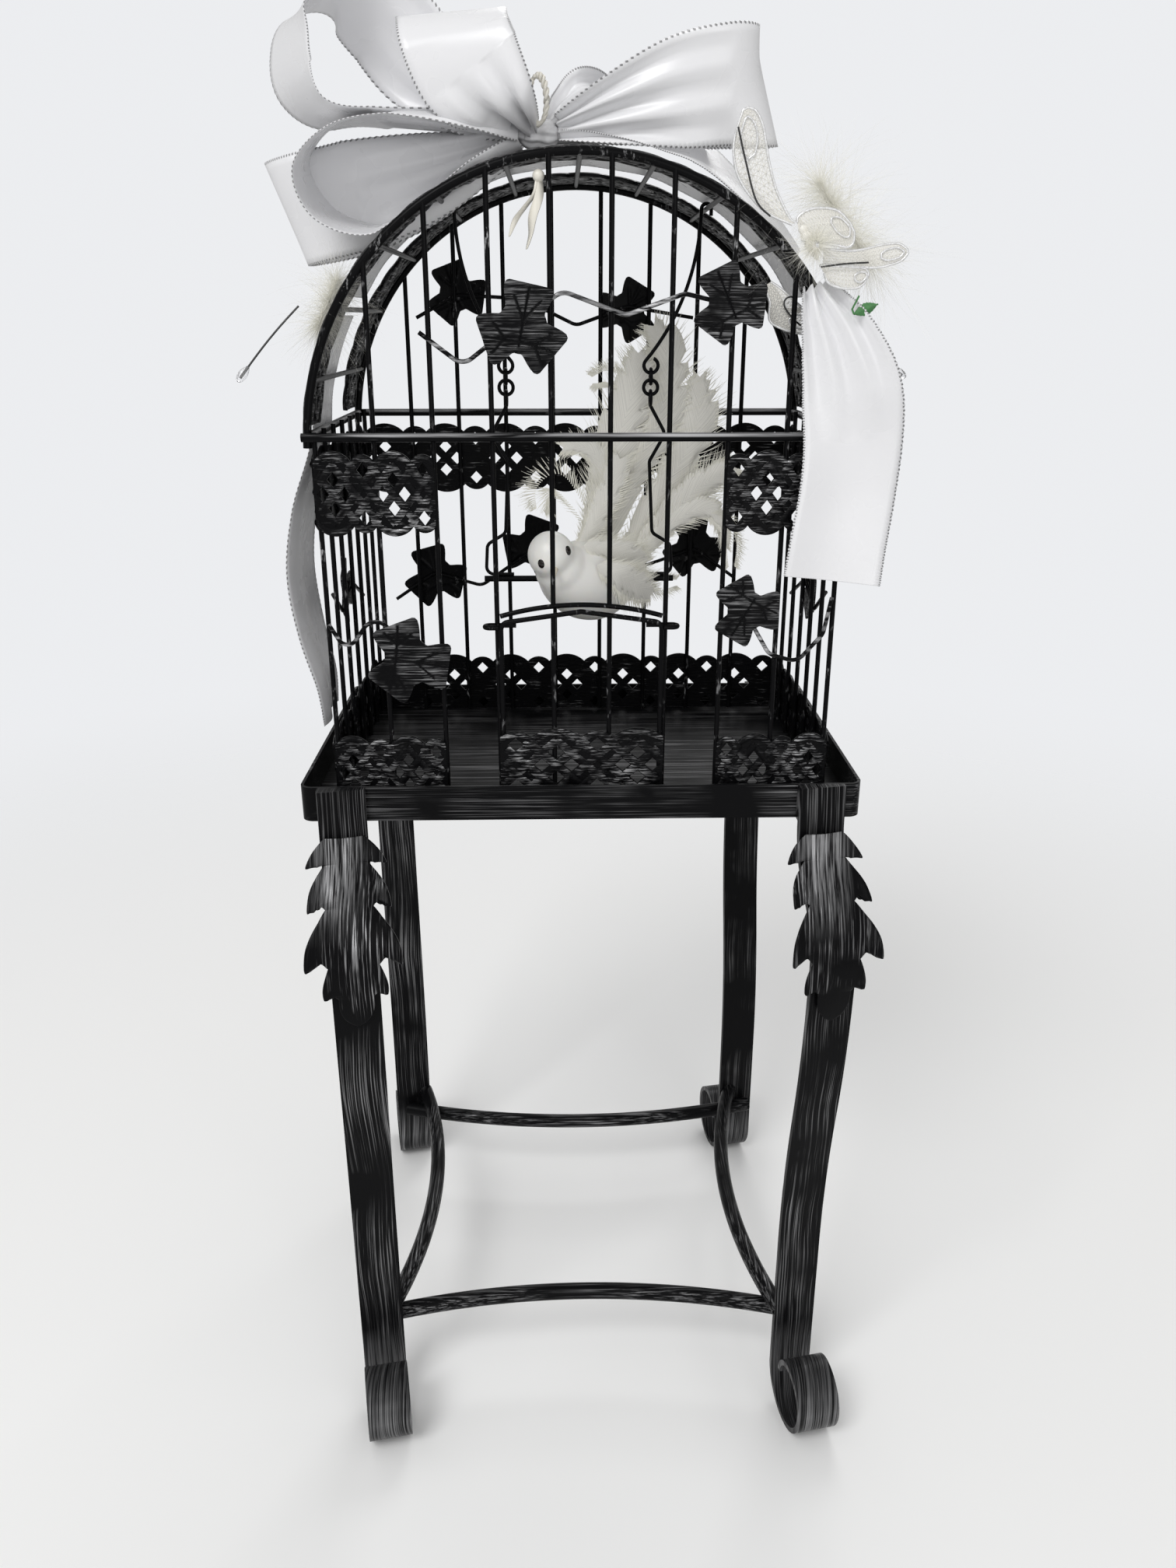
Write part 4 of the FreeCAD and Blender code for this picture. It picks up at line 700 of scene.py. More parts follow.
def satin_white(name, colour):
    """White satin: a fine twill and, along the picot edge, dots darkened as painted shade between its teeth, both
    from the piece's own UV map, and a soft sheen.
    """
    material, shader = plain_shader(name, colour, 0.3, 0.55, Sheen_Weight=0.15, Anisotropic=0.6)
    vary_gloss(material, shader, 60.0, 0.2, 0.36)
    place = add_node(material, "ShaderNodeTexCoord", "UV")
    threads = add_node(material, "ShaderNodeMapping", "Vector", place, Scale=(80, 420, 1))
    twill = add_node(material, "ShaderNodeTexWave", "Fac", threads, Scale=1.0, Distortion=0.6, Detail=1.0)
    twill.node.bands_direction = "DIAGONAL"
    raise_bump(material, shader, twill, 0.06, 0.0002)
    share = add_node(material, "ShaderNodeSeparateXYZ", "X", place).node.outputs
    near_edge = ramp(material, from_middle(material, share["X"]), 0.482, 0.486)
    step = maths(material, "FRACT", maths(material, "MULTIPLY", share["Y"], 110.0))
    picot_shade = maths(material, "MULTIPLY", near_edge, ramp(material, step, 0.42, 0.58))
    # Painted shade: dots along both edges are darkened to 30 % of the satin colour.
    shade = blend_colours(material, picot_shade, colour, [0.3 * c for c in colour])
    feed(material, shader.inputs["Base Color"], shade)
    return material


satin = satin_white("white_satin", (0.8, 0.8, 0.815))
print("satin finish")

# %% Ribbon tools
def lay_ribbon(name, guide, across=14, along=220, pleats=3, teeth=0.45, wave=None):
    """A thin satin sheet along guide rows, each a place, the direction across and a width, in mm."""
    bpy.ops.mesh.primitive_grid_add(x_subdivisions=across, y_subdivisions=along, size=2)
    piece = bpy.context.object
    piece.name = name
    rows = through(guide, along)
    places = [Vector(r[:3]) for r in rows]
    length = sum((b - a).length for a, b in zip(places, places[1:]))
    for corner in piece.data.vertices:
        u = corner.co.x / 2
        k = round((corner.co.y + 1) / 2 * along)
        ahead = (places[min(along, k + 1)] - places[max(0, k - 1)]).normalized()
        side = Vector(rows[k][3:6])
        side = (side - ahead * side.dot(ahead)).normalized()
        face = side.cross(ahead)
        width = min(RIBBON, rows[k][6])
        fold = width / (2 * math.pi * pleats) * math.sqrt(2 * max(0, (RIBBON / width) ** 2 - 1))
        lift = min(fold, DEEPEST_PLEAT) * math.cos(2 * math.pi * pleats * u)
        if wave:
            lift += wave(u, k / along)
        edge = teeth * (k % 2) if abs(u) > 0.499 else 0
        corner.co = (places[k] + side * (u * width + math.copysign(edge, u)) + face * lift) * MM
    thicken(piece, RIBBON_SHEET, 0)
    bpy.ops.object.shade_smooth()
    return piece, length


print("ribbon tools ready")

# %% [markdown]
# ## The bow
# Six loops leave one knot on the front arch: a broad one over the knot, an upright one and an open one to the
# left, a rolled one below them, a long one to the right and a small one inside it. A flat end runs over the vault
# to the right. Each is a guide of stations with the direction of the ribbon's width at each.

# %% Bow loops
KNOT = (-18, -46, 676)
BOW_GUIDES = {
    "crown": [(-22, -52, 677, 1, 0, 0.08, 10), (-34, -68, 684, 1, 0, 0.08, 34), (-46, -73, 697, 1, 0, 0.08, 46),
              (-52, -72, 710, 1, 0, 0.08, 46), (-54, -62, 719, 1, 0, 0.08, 46), (-55, -48, 721, 1, 0, 0.08, 46),
              (-54, -36, 714, 1, 0, 0.08, 46), (-46, -30, 698, 1, 0, 0.08, 42), (-34, -34, 686, 1, 0, 0.08, 32),
              (-22, -44, 679, 1, 0, 0.08, 10)],
    "upright": [(-27, -46, 677, 0.3, -0.95, 0, 10), (-58, -44, 681, 0.4, -0.9, 0, 34),
                (-90, -41, 683, 0.45, -0.85, 0, 46),
                (-113, -40, 686, 0.5, -0.82, 0, 46), (-125, -40, 696, 0.52, -0.8, 0.05, 46),
                (-127, -40, 710, 0.52, -0.8, 0.1, 46), (-122, -39, 724, 0.5, -0.78, 0.2, 46),
                (-106, -36, 733, 0.52, -0.68, 0.36, 46), (-88, -33, 724, 0.6, -0.5, 0.55, 46),
                (-70, -34, 706, 0.62, -0.3, 0.68, 42), (-48, -39, 689, 0.5, -0.3, 0.8, 26),
                (-28, -44, 679, 0.3, -0.5, 0.8, 10)],
    "open": [(-27, -50, 676, 0, 1, 0.1, 10), (-50, -52, 680, -0.1, 1, 0.1, 34),
             (-82, -54, 683, -0.12, 1, 0.12, 46), (-108, -56, 678, -0.1, 1, 0.12, 46),
             (-122, -57, 662, -0.02, 1, 0.12, 46), (-114, -55, 644, 0.08, 1, 0.14, 46),
             (-92, -52, 638, 0.1, 1, 0.18, 46), (-68, -50, 650, 0.05, 1, 0.18, 42),
             (-46, -48, 664, 0, 1, 0.12, 28), (-27, -47, 673, 0, 1, 0.1, 10)],
    "rolled": [(-27, -42, 675, 0, 0.2, 0.95, 10), (-64, -38, 662, -0.2, 0.1, 0.95, 34),
               (-102, -36, 652, -0.32, 0, 0.94, 46),
               (-126, -33, 647, -0.36, 0, 0.93, 46), (-137, -23, 645, -0.36, 0, 0.93, 46),
               (-133, -11, 646, -0.36, 0, 0.93, 46), (-108, -8, 651, -0.3, 0, 0.94, 46),
               (-66, -18, 661, -0.2, 0.1, 0.95, 34), (-27, -38, 676, 0, 0.2, 0.95, 10)],
    "right": [(-9, -49, 678, 0.1, 0, 1, 10), (14, -57, 684, -0.05, -0.1, 1, 26),
              (42, -62, 690, -0.2, -0.15, 1, 42), (66, -63, 693, -0.28, -0.25, 1, 46),
              (79, -56, 693, -0.32, -0.2, 1, 46), (80, -44, 694, -0.3, 0, 1, 46),
              (60, -35, 695, -0.2, 0, 1, 46), (34, -34, 692, -0.1, 0, 1, 38), (12, -40, 685, 0, 0, 1, 24),
              (-9, -45, 679, 0.1, 0, 1, 10)],
    "inner": [(-12, -43, 680, 0.25, 0.6, 0.75, 10), (-6, -42, 685, 0.28, 0.6, 0.75, 20),
              (3, -38, 690, 0.3, 0.6, 0.72, 28), (9, -31, 688, 0.3, 0.6, 0.72, 28),
              (2, -30, 682, 0.28, 0.6, 0.75, 22), (-12, -40, 678, 0.25, 0.6, 0.75, 10)],
    "over": [(-10, -46, 677, 0, 0.8, 0.35, 12), (8, -42, 679, 0, 0.85, 0.38, 30),
             (32, -40, 678, 0.05, 0.85, 0.38, 44),
             (54, -40, 671, 0.12, 0.86, 0.32, 46), (74, -40, 656, 0.18, 0.88, 0.22, 46),
             (90, -40, 641, 0.22, 0.9, 0.16, 46), (102, -40, 627, 0.22, 0.9, 0.12, 46)],
}
loops = []
cut = 0
for name, guide in BOW_GUIDES.items():
    loop, length = lay_ribbon(f"loop_{name}", guide)
    loops.append(loop)
    cut += length
bow = hand_over(join("satin_bow", loops), "cage", "satin_ribbon", satin, "bow_loops")
print("bow of", len(BOW_GUIDES), "lengths,", round(cut), "mm of ribbon")

# %% [markdown]
# ## The ribbon over the roof and the tails
# One length lies over the roof rods between the pierced bands, with slack ripples. The right tail is pinned
# where the arch falls and hangs before the cage; the left one comes over the vault and hangs at its side.

# %% Roof ribbon and tails
ROOF_RADIUS = 129.8
roof_guide = []
for k in range(13):
    angle = math.radians(148 - 116 * k / 12)
    roof_guide.append((ROOF_RADIUS * math.cos(angle), 0, ARCH_Z + ROOF_RADIUS * math.sin(angle), 0, 1, 0, 46))


def slack(u, t):
    """Ripples of the roof ribbon, only away from the rods."""
    return -1.6 * (0.5 - 0.5 * math.cos(14 * math.pi * t)) * math.cos(2.2 * u)


roof, length = lay_ribbon("roof_satin", roof_guide, wave=slack)
hand_over(roof, "cage", "satin_ribbon", satin, "roof_ribbon")

TAIL_RIGHT = [(103, -79, 613, 1, 0, 0, 11), (107, -84, 604, 1, -0.1, 0, 22), (114, -86, 590, 1, -0.12, 0, 34),
              (121, -86, 570, 1, -0.05, 0.02, 44), (124, -84.5, 548, 1, 0.08, 0.03, 46),
              (123, -85, 524, 1, 0.14, 0.04, 46), (120, -87, 502, 1, 0.1, 0.03, 46),
              (118, -88, 484, 1, 0.04, 0, 46)]
right_tail, length = lay_ribbon("tail_satin_right", TAIL_RIGHT, along=160,
                                wave=lambda u, t: 1.5 * math.sin(5 * u + 2) * t)
hand_over(right_tail, "cage", "satin_ribbon", satin, "ribbon_tail_right")

TAIL_LEFT = [(-113.6, -18, 601.1, 0, 1, 0, 46), (-119.3, -18, 588.9, 0, 1, 0, 46),
             (-123.7, -18, 576.2, 0, 1, 0, 46),
             (-127, -18, 563, 0, 1, 0, 46), (-131, -18, 540, 0.05, 1, 0, 46), (-141, -18, 510, 0.1, 1, 0, 46),
             (-146, -18, 478, 0.12, 1, 0, 46), (-143, -18, 446, 0.1, 1, 0, 46), (-137, -18, 418, 0.05, 1, 0, 46),
             (-136, -18, 398, 0, 1, 0, 46)]
left_tail, length = lay_ribbon("tail_satin_left", TAIL_LEFT, along=200,
                               wave=lambda u, t: 2.0 * math.sin(6 * u) * t)
hand_over(left_tail, "cage", "satin_ribbon", satin, "ribbon_tail_left")
print("roof ribbon and tails laid")

# %% [markdown]
# ## Knot and tie
# The loops are held by a pinch of the same satin, and a cream cord tied through it stands up as a small ring.
# The knot is a ball that is creased towards its poles. The ring is two cords that twist round one line, and its
# two short ends are thin sheets.

# %% Cord and ball tools
def tube_along(name, points, radius, sides=6):
    """A round cord through points in mm, made from a curve with a bevel and turned into a mesh."""
    line = bpy.data.curves.new(name, "CURVE")
    line.dimensions = "3D"
    spline = line.splines.new("POLY")
    spline.points.add(len(points) - 1)
    for spot, point in zip(spline.points, points):
        spot.co = (*(point * MM), 1)
    line.bevel_depth = radius * MM
    line.bevel_resolution = max(0, sides // 2 - 2)
    line.use_fill_caps = True
    place_new(name, line)
    bpy.ops.object.convert(target="MESH")
    bpy.ops.object.shade_smooth()
    return bpy.context.object


def plain_ball(segments, rings, radius, middle):
    """A round ball with its size and place in mm."""
    bpy.ops.mesh.primitive_uv_sphere_add(segments=segments, ring_count=rings, radius=radius * MM,
                                         location=middle * MM)
    bpy.ops.object.transform_apply(location=True, rotation=True, scale=True)
    return bpy.context.object


def shaped_ball(name, segments, rings, shape):
    """A ball whose corners, at 1 from the middle, are moved to the points in mm that shape gives."""
    bpy.ops.mesh.primitive_uv_sphere_add(segments=segments, ring_count=rings, radius=1)
    ball = bpy.context.object
    ball.name = name
    for corner in ball.data.vertices:
        corner.co = shape(*corner.co) * MM
    bpy.ops.object.shade_smooth()
    return ball


print("cord and ball tools: tube_along, plain_ball, shaped_ball")

# %% Knot and tie
TIE_KNOT = Vector((-18, -73.5, 657))
KNOT_WIDE, KNOT_DEEP, KNOT_HIGH = 9.5, 7, 6.5
RING_WIDE, RING_DEEP, RING_HIGH = 3.8, 1.5, 9.2


def pinched(x, y, z):
    """The knot: a ball with nine creases and a waist."""
    fold = 1 + 0.07 * math.cos(9 * math.atan2(y, z) + 1.5 * x) - 0.22 * math.exp(-(x / 0.3) ** 2)
    return Vector(KNOT) + Vector((x * KNOT_WIDE, y * KNOT_DEEP * fold, z * KNOT_HIGH * fold))


knot = shaped_ball("satin_knot", 72, 40, pinched)
hand_over(knot, "cage", "satin_ribbon", satin, "bow_knot")
cream = satin_white("cream_cord", (0.78, 0.75, 0.67))
tie_low, tie_high = (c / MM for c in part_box("bow_tie"))
tie_middle = (tie_low + tie_high) / 2
strands = []
for phase in (0, math.pi):
    points = []
    for k in range(121):
        turn = 2 * math.pi * k / 120
        ring = Vector((RING_WIDE * math.cos(turn), -RING_DEEP * math.sin(turn), RING_HIGH * math.sin(turn)))
        twist = 9 * turn + phase
        points.append(tie_middle + ring + 0.7 * Vector((math.cos(twist), math.sin(twist), math.cos(twist))))
    strands.append(tube_along("tie_strand", points, 0.8))
ENDS = [[(-18, -73.5, 657), (-19, -74, 651), (-24, -74.6, 645), (-28, -74.6, 640), (-31, -74, 633)],
        [(-17.5, -73.5, 656), (-18, -74.4, 649), (-20.5, -75, 641), (-21.5, -74.6, 634), (-23.5, -74, 628)]]
for i, rows in enumerate(ENDS):
    line = [Vector(row) for row in through(rows, 30)]
    patch = []
    for k, point in enumerate(line):
        half = 2.3 * math.sin(math.pi * (0.12 + 0.86 * k / 30)) + 0.2
        turn = 0.9 * math.sin(0.12 * k + 2 * i)
        side = Vector((math.cos(turn), math.sin(turn), 0.3))
        patch.append([point + side * half * w for w in (-1, 0, 1)])
    end = patch_mesh(f"tie_end_{i}", [patch])
    thicken(end, 0.3)
    strands.append(end)
strands.append(plain_ball(20, 12, 2.6, TIE_KNOT))
bpy.ops.object.shade_smooth()
tie = hand_over(join("cream_tie", strands), "cage", "satin_ribbon", cream, "bow_tie")
print("knot and tie of", len(tie.data.polygons), "faces")

# %% [markdown]
# ## Feathers
# A feather is a shaft with hundreds of fine barbs. A flat leaf shape with a drawn texture looks like paper, so
# every barb here is its own thin strip that leaves the shaft, sweeps up and curls at its tip. Down for the
# puffs is the same strip, thinner and growing in all directions from a short core.

# %% Feather tools
def strand_mesh(name, strands):
    """Thin strips, each a list of points in mm, a facing direction and a width that tapers to its tip."""
    corners, faces = [], []
    for points, facing, width in strands:
        count = len(points)
        for k, point in enumerate(points):
            ahead = points[min(k + 1, count - 1)] - points[max(k - 1, 0)]
            side = ahead.cross(facing).normalized() * width * (1 - 0.85 * k / (count - 1)) / 2
            corners += [(point - side) * MM, (point + side) * MM]
        first = len(corners) - 2 * count
        faces += [(a, a + 1, a + 3, a + 2) for a in range(first, len(corners) - 2, 2)]
    mesh = bpy.data.meshes.new(name)
    mesh.from_pydata(corners, [], faces)
    mesh.update()
    piece = place_new(name, mesh)
    bpy.ops.object.shade_smooth()
    return piece


def ivory_down(name, colour, clear):
    """Soft feather: pale, a little see-through, with a velvet edge."""
    material, shader = plain_shader(name, colour, 0.7, 0.2, Sheen_Weight=0.4, Alpha=clear)
    darker = (0.9 * colour[0], 0.9 * colour[1], 0.84 * colour[2])
    tint = blend_colours(material, own_noise(material, 140.0, 2.0), colour, darker)
    feed(material, shader.inputs["Base Color"], tint)
    return material


puff_down = ivory_down("puff_down", (0.96, 0.945, 0.89), 0.5)
plume_down = ivory_down("plume_down", (0.88, 0.865, 0.8), 1.0)
print("feather finishes: puff_down, plume_down")

# %% Feather puffs
def down_puff(name, node, along, strands, seed, shift=Vector((0, 0, 0))):
    """Down that fills the box of a CAD puff, growing from a core along its length."""
    dice = random.Random(seed)
    low, high = (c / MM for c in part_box(node))
    middle = (low + high) / 2 + shift
    along = Vector(along).normalized()
    half = (high - low).length * 0.2
    reach = (high.y - low.y) / 2
    grown = []
    for _ in range(strands):
        t = dice.uniform(-1, 1)
        root = middle + along * half * t
        out = Vector([dice.gauss(0, 1) for _ in range(3)]).normalized()
        out = (out + along * t * 0.8).normalized()
        sway = Vector([dice.gauss(0, 1) for _ in range(3)]) * 0.28
        length = reach * (0.5 + dice.random() ** 2 * 1.1)
        points = []
        for k in range(6):
            f = k / 5
            droop = Vector((0, 0, 0.16 * length * f ** 3))
            points.append(root + out * length * f + sway * length * f * f - droop)
        grown.append((points, out.cross(sway).normalized(), dice.uniform(0.14, 0.24)))
    return strand_mesh(name, grown)


right_puff = down_puff("down_puff_right", "feather_puff_right", (0.616, 0, -0.788), 3000, 5)
hand_over(right_puff, "cage", "feather_puff", puff_down, "feather_puff_right")
left_puff = down_puff("down_puff_left", "feather_puff_left", (-0.46, 0, -0.89), 2800, 7, Vector((13, 4, 3)))
hand_over(left_puff, "cage", "feather_puff", puff_down, "feather_puff_left")
print("puffs of", len(right_puff.data.polygons), "and", len(left_puff.data.polygons), "faces")

# %% [markdown]
# ## The dove
# The body and head are smooth, satin-white and almost porcelain, so they are one skin: three balls joined,
# remeshed and relaxed so that the neck flows. Broad plumes are patches with barbs drawn by their UV map, and
# thin loose barbs fly off their edges. The face looks at the camera, with two black eyes and a small bill.

# %% Dove body
FACING = Vector((-0.62, -0.74, 0.26)).normalized()
BODY_MIDDLE = Vector((0, -0.5, 468))
HEAD = BODY_MIDDLE + FACING * 24 + Vector((0, 0, 10))
BODY_LONG, BODY_WIDE, BODY_HIGH, BODY_BACK = 33, 22.2, 21.6, 5
SKULL, THROAT = 12.4, 14.5
BODY_TURN = FACING.to_track_quat("X", "Z").to_matrix()


def plump(x, y, z):
    """The body: a long ball that is fuller behind its middle."""
    fat = 1 - 0.12 * x - 0.1 * x * x
    spot = Vector((x * BODY_LONG, y * BODY_WIDE * fat, z * BODY_HIGH * fat))
    return BODY_MIDDLE + BODY_TURN @ (spot - Vector((BODY_BACK, 0, 0)))


body = shaped_ball("dove_skin", 48, 32, plump)
skull = plain_ball(32, 24, SKULL, HEAD)
throat = plain_ball(32, 24, THROAT, HEAD - Vector((0, 0, 6.5)) - FACING * 9)
dove = join("dove_skin", [body, skull, throat])
blend = dove.modifiers.new("one_skin", "REMESH")
blend.mode = "VOXEL"
blend.voxel_size = 0.9 * MM
bpy.ops.object.modifier_apply(modifier="one_skin")
relax = dove.modifiers.new("relax", "SMOOTH")
relax.factor = 0.5
relax.iterations = 24
bpy.ops.object.modifier_apply(modifier="relax")
bpy.ops.object.shade_smooth()
porcelain, shader = plain_shader("dove_white", (0.93, 0.92, 0.88), 0.34, Subsurface_Weight=0.15,
                                 Subsurface_Radius=(0.004, 0.003, 0.002))
raise_bump(porcelain, shader, own_noise(porcelain, 90.0, 4.0), 0.12, 0.0005)
hand_over(dove, "swing", "bird_feather", porcelain, "bird_body", "bird_head")
print("dove skin of", len(dove.data.polygons), "faces")

# %% Barbed finish
def barbed(name, colour):
    """Silky feather: fine lines slant from the shaft to both edges of each UV patch."""
    material, shader = plain_shader(name, colour, 0.55, 0.3, Sheen_Weight=0.25)
    place = add_node(material, "ShaderNodeTexCoord", "UV")
    share = add_node(material, "ShaderNodeSeparateXYZ", "X", place).node.outputs
    slant = maths(material, "MULTIPLY_ADD", from_middle(material, share["X"]), -0.25, share["Y"])
    noise = add_node(material, "ShaderNodeTexNoise", "Fac", Scale=90.0, Detail=3.0, Roughness=0.7).node
    noise.noise_dimensions = "1D"
    feed(material, noise.inputs["W"], slant)
    lines = noise.outputs["Fac"]
    shade = blend_colours(material, ramp(material, lines, 0.35, 0.6), [0.78 * c for c in colour], colour)
    feed(material, shader.inputs["Base Color"], shade)
    raise_bump(material, shader, lines, 0.35, 0.0006)
    return material


silky = barbed("silky_plume", (0.9, 0.885, 0.82))
print("barbed finish")

# %% One plume
def plume(spine, widths, seed, loose=3):
    """One feather: a cupped patch with torn edges, and the loose barbs that fly off it."""
    dice = random.Random(seed)
    facing = Vector((0.05, -1, 0.1)).normalized()
    count = 44
    places = [Vector(row) for row in through(spine, count)]
    halves = [row[0] for row in through([(w,) for w in widths], count)]
    patch, barbs = [], []
    for k, place in enumerate(places):
        ahead = (places[min(count, k + 1)] - places[max(0, k - 1)]).normalized()
        side = ahead.cross(facing).normalized()
        half = halves[k]
        torn = [dice.uniform(0.55, 0.95) if dice.random() < 0.35 else 0.95 for _ in range(2)]
        row = []
        for w in (c / 6 - 1 for c in range(13)):
            reach = half * (torn[w > 0] if abs(w) > 0.6 else 0.95)
            row.append(place + side * w * reach + ahead * abs(w) * reach * 0.9
                       + facing * 0.28 * half * (1 - w * w))
        patch.append(row)
        for w in (-1, 1):
            for _ in range(loose):
                root = place + side * w * half * 0.55 + ahead * half * 0.5
                reach = half * dice.uniform(0.45, 0.95)
                bend = dice.uniform(-0.35, 0.35)
                barb = []
                for f in (0, 0.25, 0.5, 0.75, 1):
                    sweep = side * w * (f + bend * f * f) + ahead * (0.8 * f + 0.25 * f * f)
                    barb.append(root + sweep * reach + facing * (0.8 + bend * f * reach * 0.5))
                barbs.append((barb, facing, 0.5))
    return patch, barbs


print("plume tool ready")

# %% Dove feathers
PLUMES = [([(26, 19, 479), (43, 20, 507), (57, 20, 531), (64, 19, 552), (64, 17, 571)], (5, 10, 12, 10, 4)),
          ([(14, 16, 480), (22, 17, 507), (32, 18, 528), (42, 18, 548), (46, 17, 567), (45, 15, 586),
            (39, 14, 596)],
           (5, 10, 13, 14, 12, 9, 4)),
          ([(30, 15, 478), (48, 16, 497), (64, 16, 513), (76, 15, 521), (84, 14, 525)], (5, 9, 9, 7, 3)),
          ([(28, 13, 473), (45, 14, 490), (60, 14, 501), (72, 13, 502), (79, 12, 493), (81, 11, 482)],
           (4, 6, 7, 6, 4, 2)),
          ([(6, 12, 480), (12, 13, 505), (18, 14, 530), (25, 14, 552), (30, 12, 570), (31, 11, 583)],
           (5, 11, 13, 12, 9, 4)),
          ([(2, 8, 485), (7, 9, 500), (12, 10, 514), (12, 10, 526), (7, 9, 534), (-1, 8, 537), (-8, 7, 536)],
           (4, 6, 7, 7, 6, 5, 3)),
          ([(-2, -3, 482), (5, 2, 491), (11, 6, 502), (17, 8, 515), (22, 9, 530)], (3, 6, 8, 8, 5)),
          ([(2, -13, 488), (13, -9, 486), (25, -3, 481), (36, 5, 475)], (4, 8, 9, 4)),
          ([(9, -19, 479), (20, -15, 473), (30, -7, 466), (39, 1, 459)], (5, 10, 9, 4))]
WISPS = [([(6, 9, 494), (-2, 8, 508), (-10, 7, 517), (-17, 6, 514), (-20, 6, 506)], (2, 6, 8, 8, 4)),
         ([(20, 8, 470), (30, 7, 466), (42, 7, 463), (52, 6, 464)], (3, 5, 5, 3)),
         ([(28, 14, 560), (24, 13, 567), (16, 12, 571), (9, 11, 570)], (3, 5, 5, 3)),
         ([(70, 12, 500), (78, 11, 496), (83, 10, 486), (84, 10, 474)], (3, 5, 5, 3))]
vanes, strips = [], []
for i, (spine, widths) in enumerate(PLUMES):
    patch, barbs = plume(spine, widths, i)
    vanes.append(patch)
    strips += barbs
for i, (spine, widths) in enumerate(WISPS):
    strips += plume(spine, widths, 40 + i, 5)[1]
tail = patch_mesh("dove_plumes", vanes)
hand_over(tail, "swing", "bird_feather", silky, "bird_tail")
fringe = strand_mesh("dove_fringe", strips)
hand_over(fringe, "swing", "bird_feather", plume_down)
print("plumes of", len(tail.data.polygons), "faces, fringe of", len(fringe.data.polygons))

# %% Dove bill and eyes
def on_head(name, offset, size, towards):
    """A small ball pressed to three sizes in mm, set on the head with its third size along a direction."""
    turn = Vector(towards).to_track_quat("Z", "Y").to_matrix()
    return shaped_ball(name, 28, 18, lambda x, y, z: HEAD + Vector(offset)
                       + turn @ Vector((x * size[0], y * size[1], z * size[2])))


def flecked(name, colour, plain, smooth, rough, scale=500.0):
    """A small hard thing whose gloss varies a little."""
    material, shader = plain_shader(name, colour, plain)
    vary_gloss(material, shader, scale, smooth, rough)
    return material


BILL = Vector((1.5, -9.9, -5.4)).normalized()
EYES = {"eye_left": (-5.0, -10.4, -2.8), "eye_right": (8.9, -7.2, 3.4)}
bill = on_head("dove_bill", BILL * 12.5, (2.2, 1.8, 5.2), BILL)
for corner in bill.data.vertices:
    out = (corner.co / MM - HEAD).dot(BILL)
    axis = HEAD + BILL * out
    corner.co = (axis + (corner.co / MM - axis) * min(1, max(0.25, (19 - out) / 7))) * MM
bill_buff = flecked("bill_buff", (0.74, 0.68, 0.56), 0.3, 0.3, 0.5)
hand_over(bill, "swing", "bird_bill", bill_buff, "bird_bill")
eyes = [on_head(name, spot, (1.9, 2.5, 1.1), spot) for name, spot in EYES.items()]
eye_bead = flecked("eye_bead", (0.012, 0.009, 0.008), 0.05, 0.05, 0.14)
hand_over(join("dove_eyes", eyes), "swing", "bird_eye", eye_bead, "bird_eyes")
print("bill and eyes set")

# %% [markdown]
# ## The lace butterfly
# The butterfly is a pick of sheer ivory lace: each wing is a film with a net on it, edged by a cord set with
# glitter, and stiffened by a dark wire. The film alone would look like paper, so the net is modelled: a grid is
# triangulated and turned into threads by the Wireframe modifier. The edge is a tube that follows the outline.

# %% Lace finishes
sheer, shader = plain_shader("sheer_film", (0.93, 0.92, 0.88), 0.5, 0.4, Alpha=0.3, Sheen_Weight=0.3)
raise_bump(sheer, shader, own_noise(sheer, 420.0, 2.0), 0.3, 0.0003)
thread = flecked("lace_thread", (0.86, 0.84, 0.78), 0.55, 0.3, 0.7, 900.0)
glitter, shader = plain_shader("silver_glitter", (0.9, 0.9, 0.9), 0.16, Metallic=0.3)
place = add_node(glitter, "ShaderNodeTexCoord", "Object")
flake = add_node(glitter, "ShaderNodeTexVoronoi", "Color", place, Scale=1500.0)
spark = blend_colours(glitter, flake, (0.9, 0.9, 0.92), (0.6, 0.6, 0.58))
feed(glitter, shader.inputs["Base Color"], spark)
print("lace finishes: film, thread, glitter")

# %% Wings
WINGS = [([(90, 637), (80, 641), (74, 645.5), (68.6, 651.5), (65, 658), (63.6, 666.5), (64.8, 673.5), (67, 680)],
          [(91, 638), (88.4, 640), (82.5, 650), (79, 660), (77.3, 667), (75.5, 674.3), (72.4, 679.6), (69, 681)],
          88.6),
         ([(94, 631), (102, 630), (109, 629), (114, 628.2), (116.4, 630), (116.5, 634)],
          [(91.8, 637.8), (92.2, 640), (96.3, 642.6), (102, 643.4), (109, 642.2), (114.5, 637.5)], 89.6),
         ([(104, 621.5), (114.4, 621), (123.2, 620.2), (130, 620.6), (137.6, 622.8), (140.5, 625.8)],
          [(104, 627.5), (115.8, 626.8), (122.6, 627.7), (129.3, 629.2), (136, 629.7), (140, 627.5)], 88.6),
         ([(104.8, 618), (107, 614), (113, 612), (119, 612), (122.3, 614), (123.8, 617)],
          [(102.6, 621), (106, 621), (112, 620.6), (118, 620.3), (122.3, 619.7), (123.9, 618)], 89.6),
         ([(82, 613), (85, 607), (85.4, 599), (91, 595.5), (98, 593.6), (105, 592.6)],
          [(85, 615), (90, 612), (95, 608), (100, 604), (104, 600), (106, 594)], 70.0)]


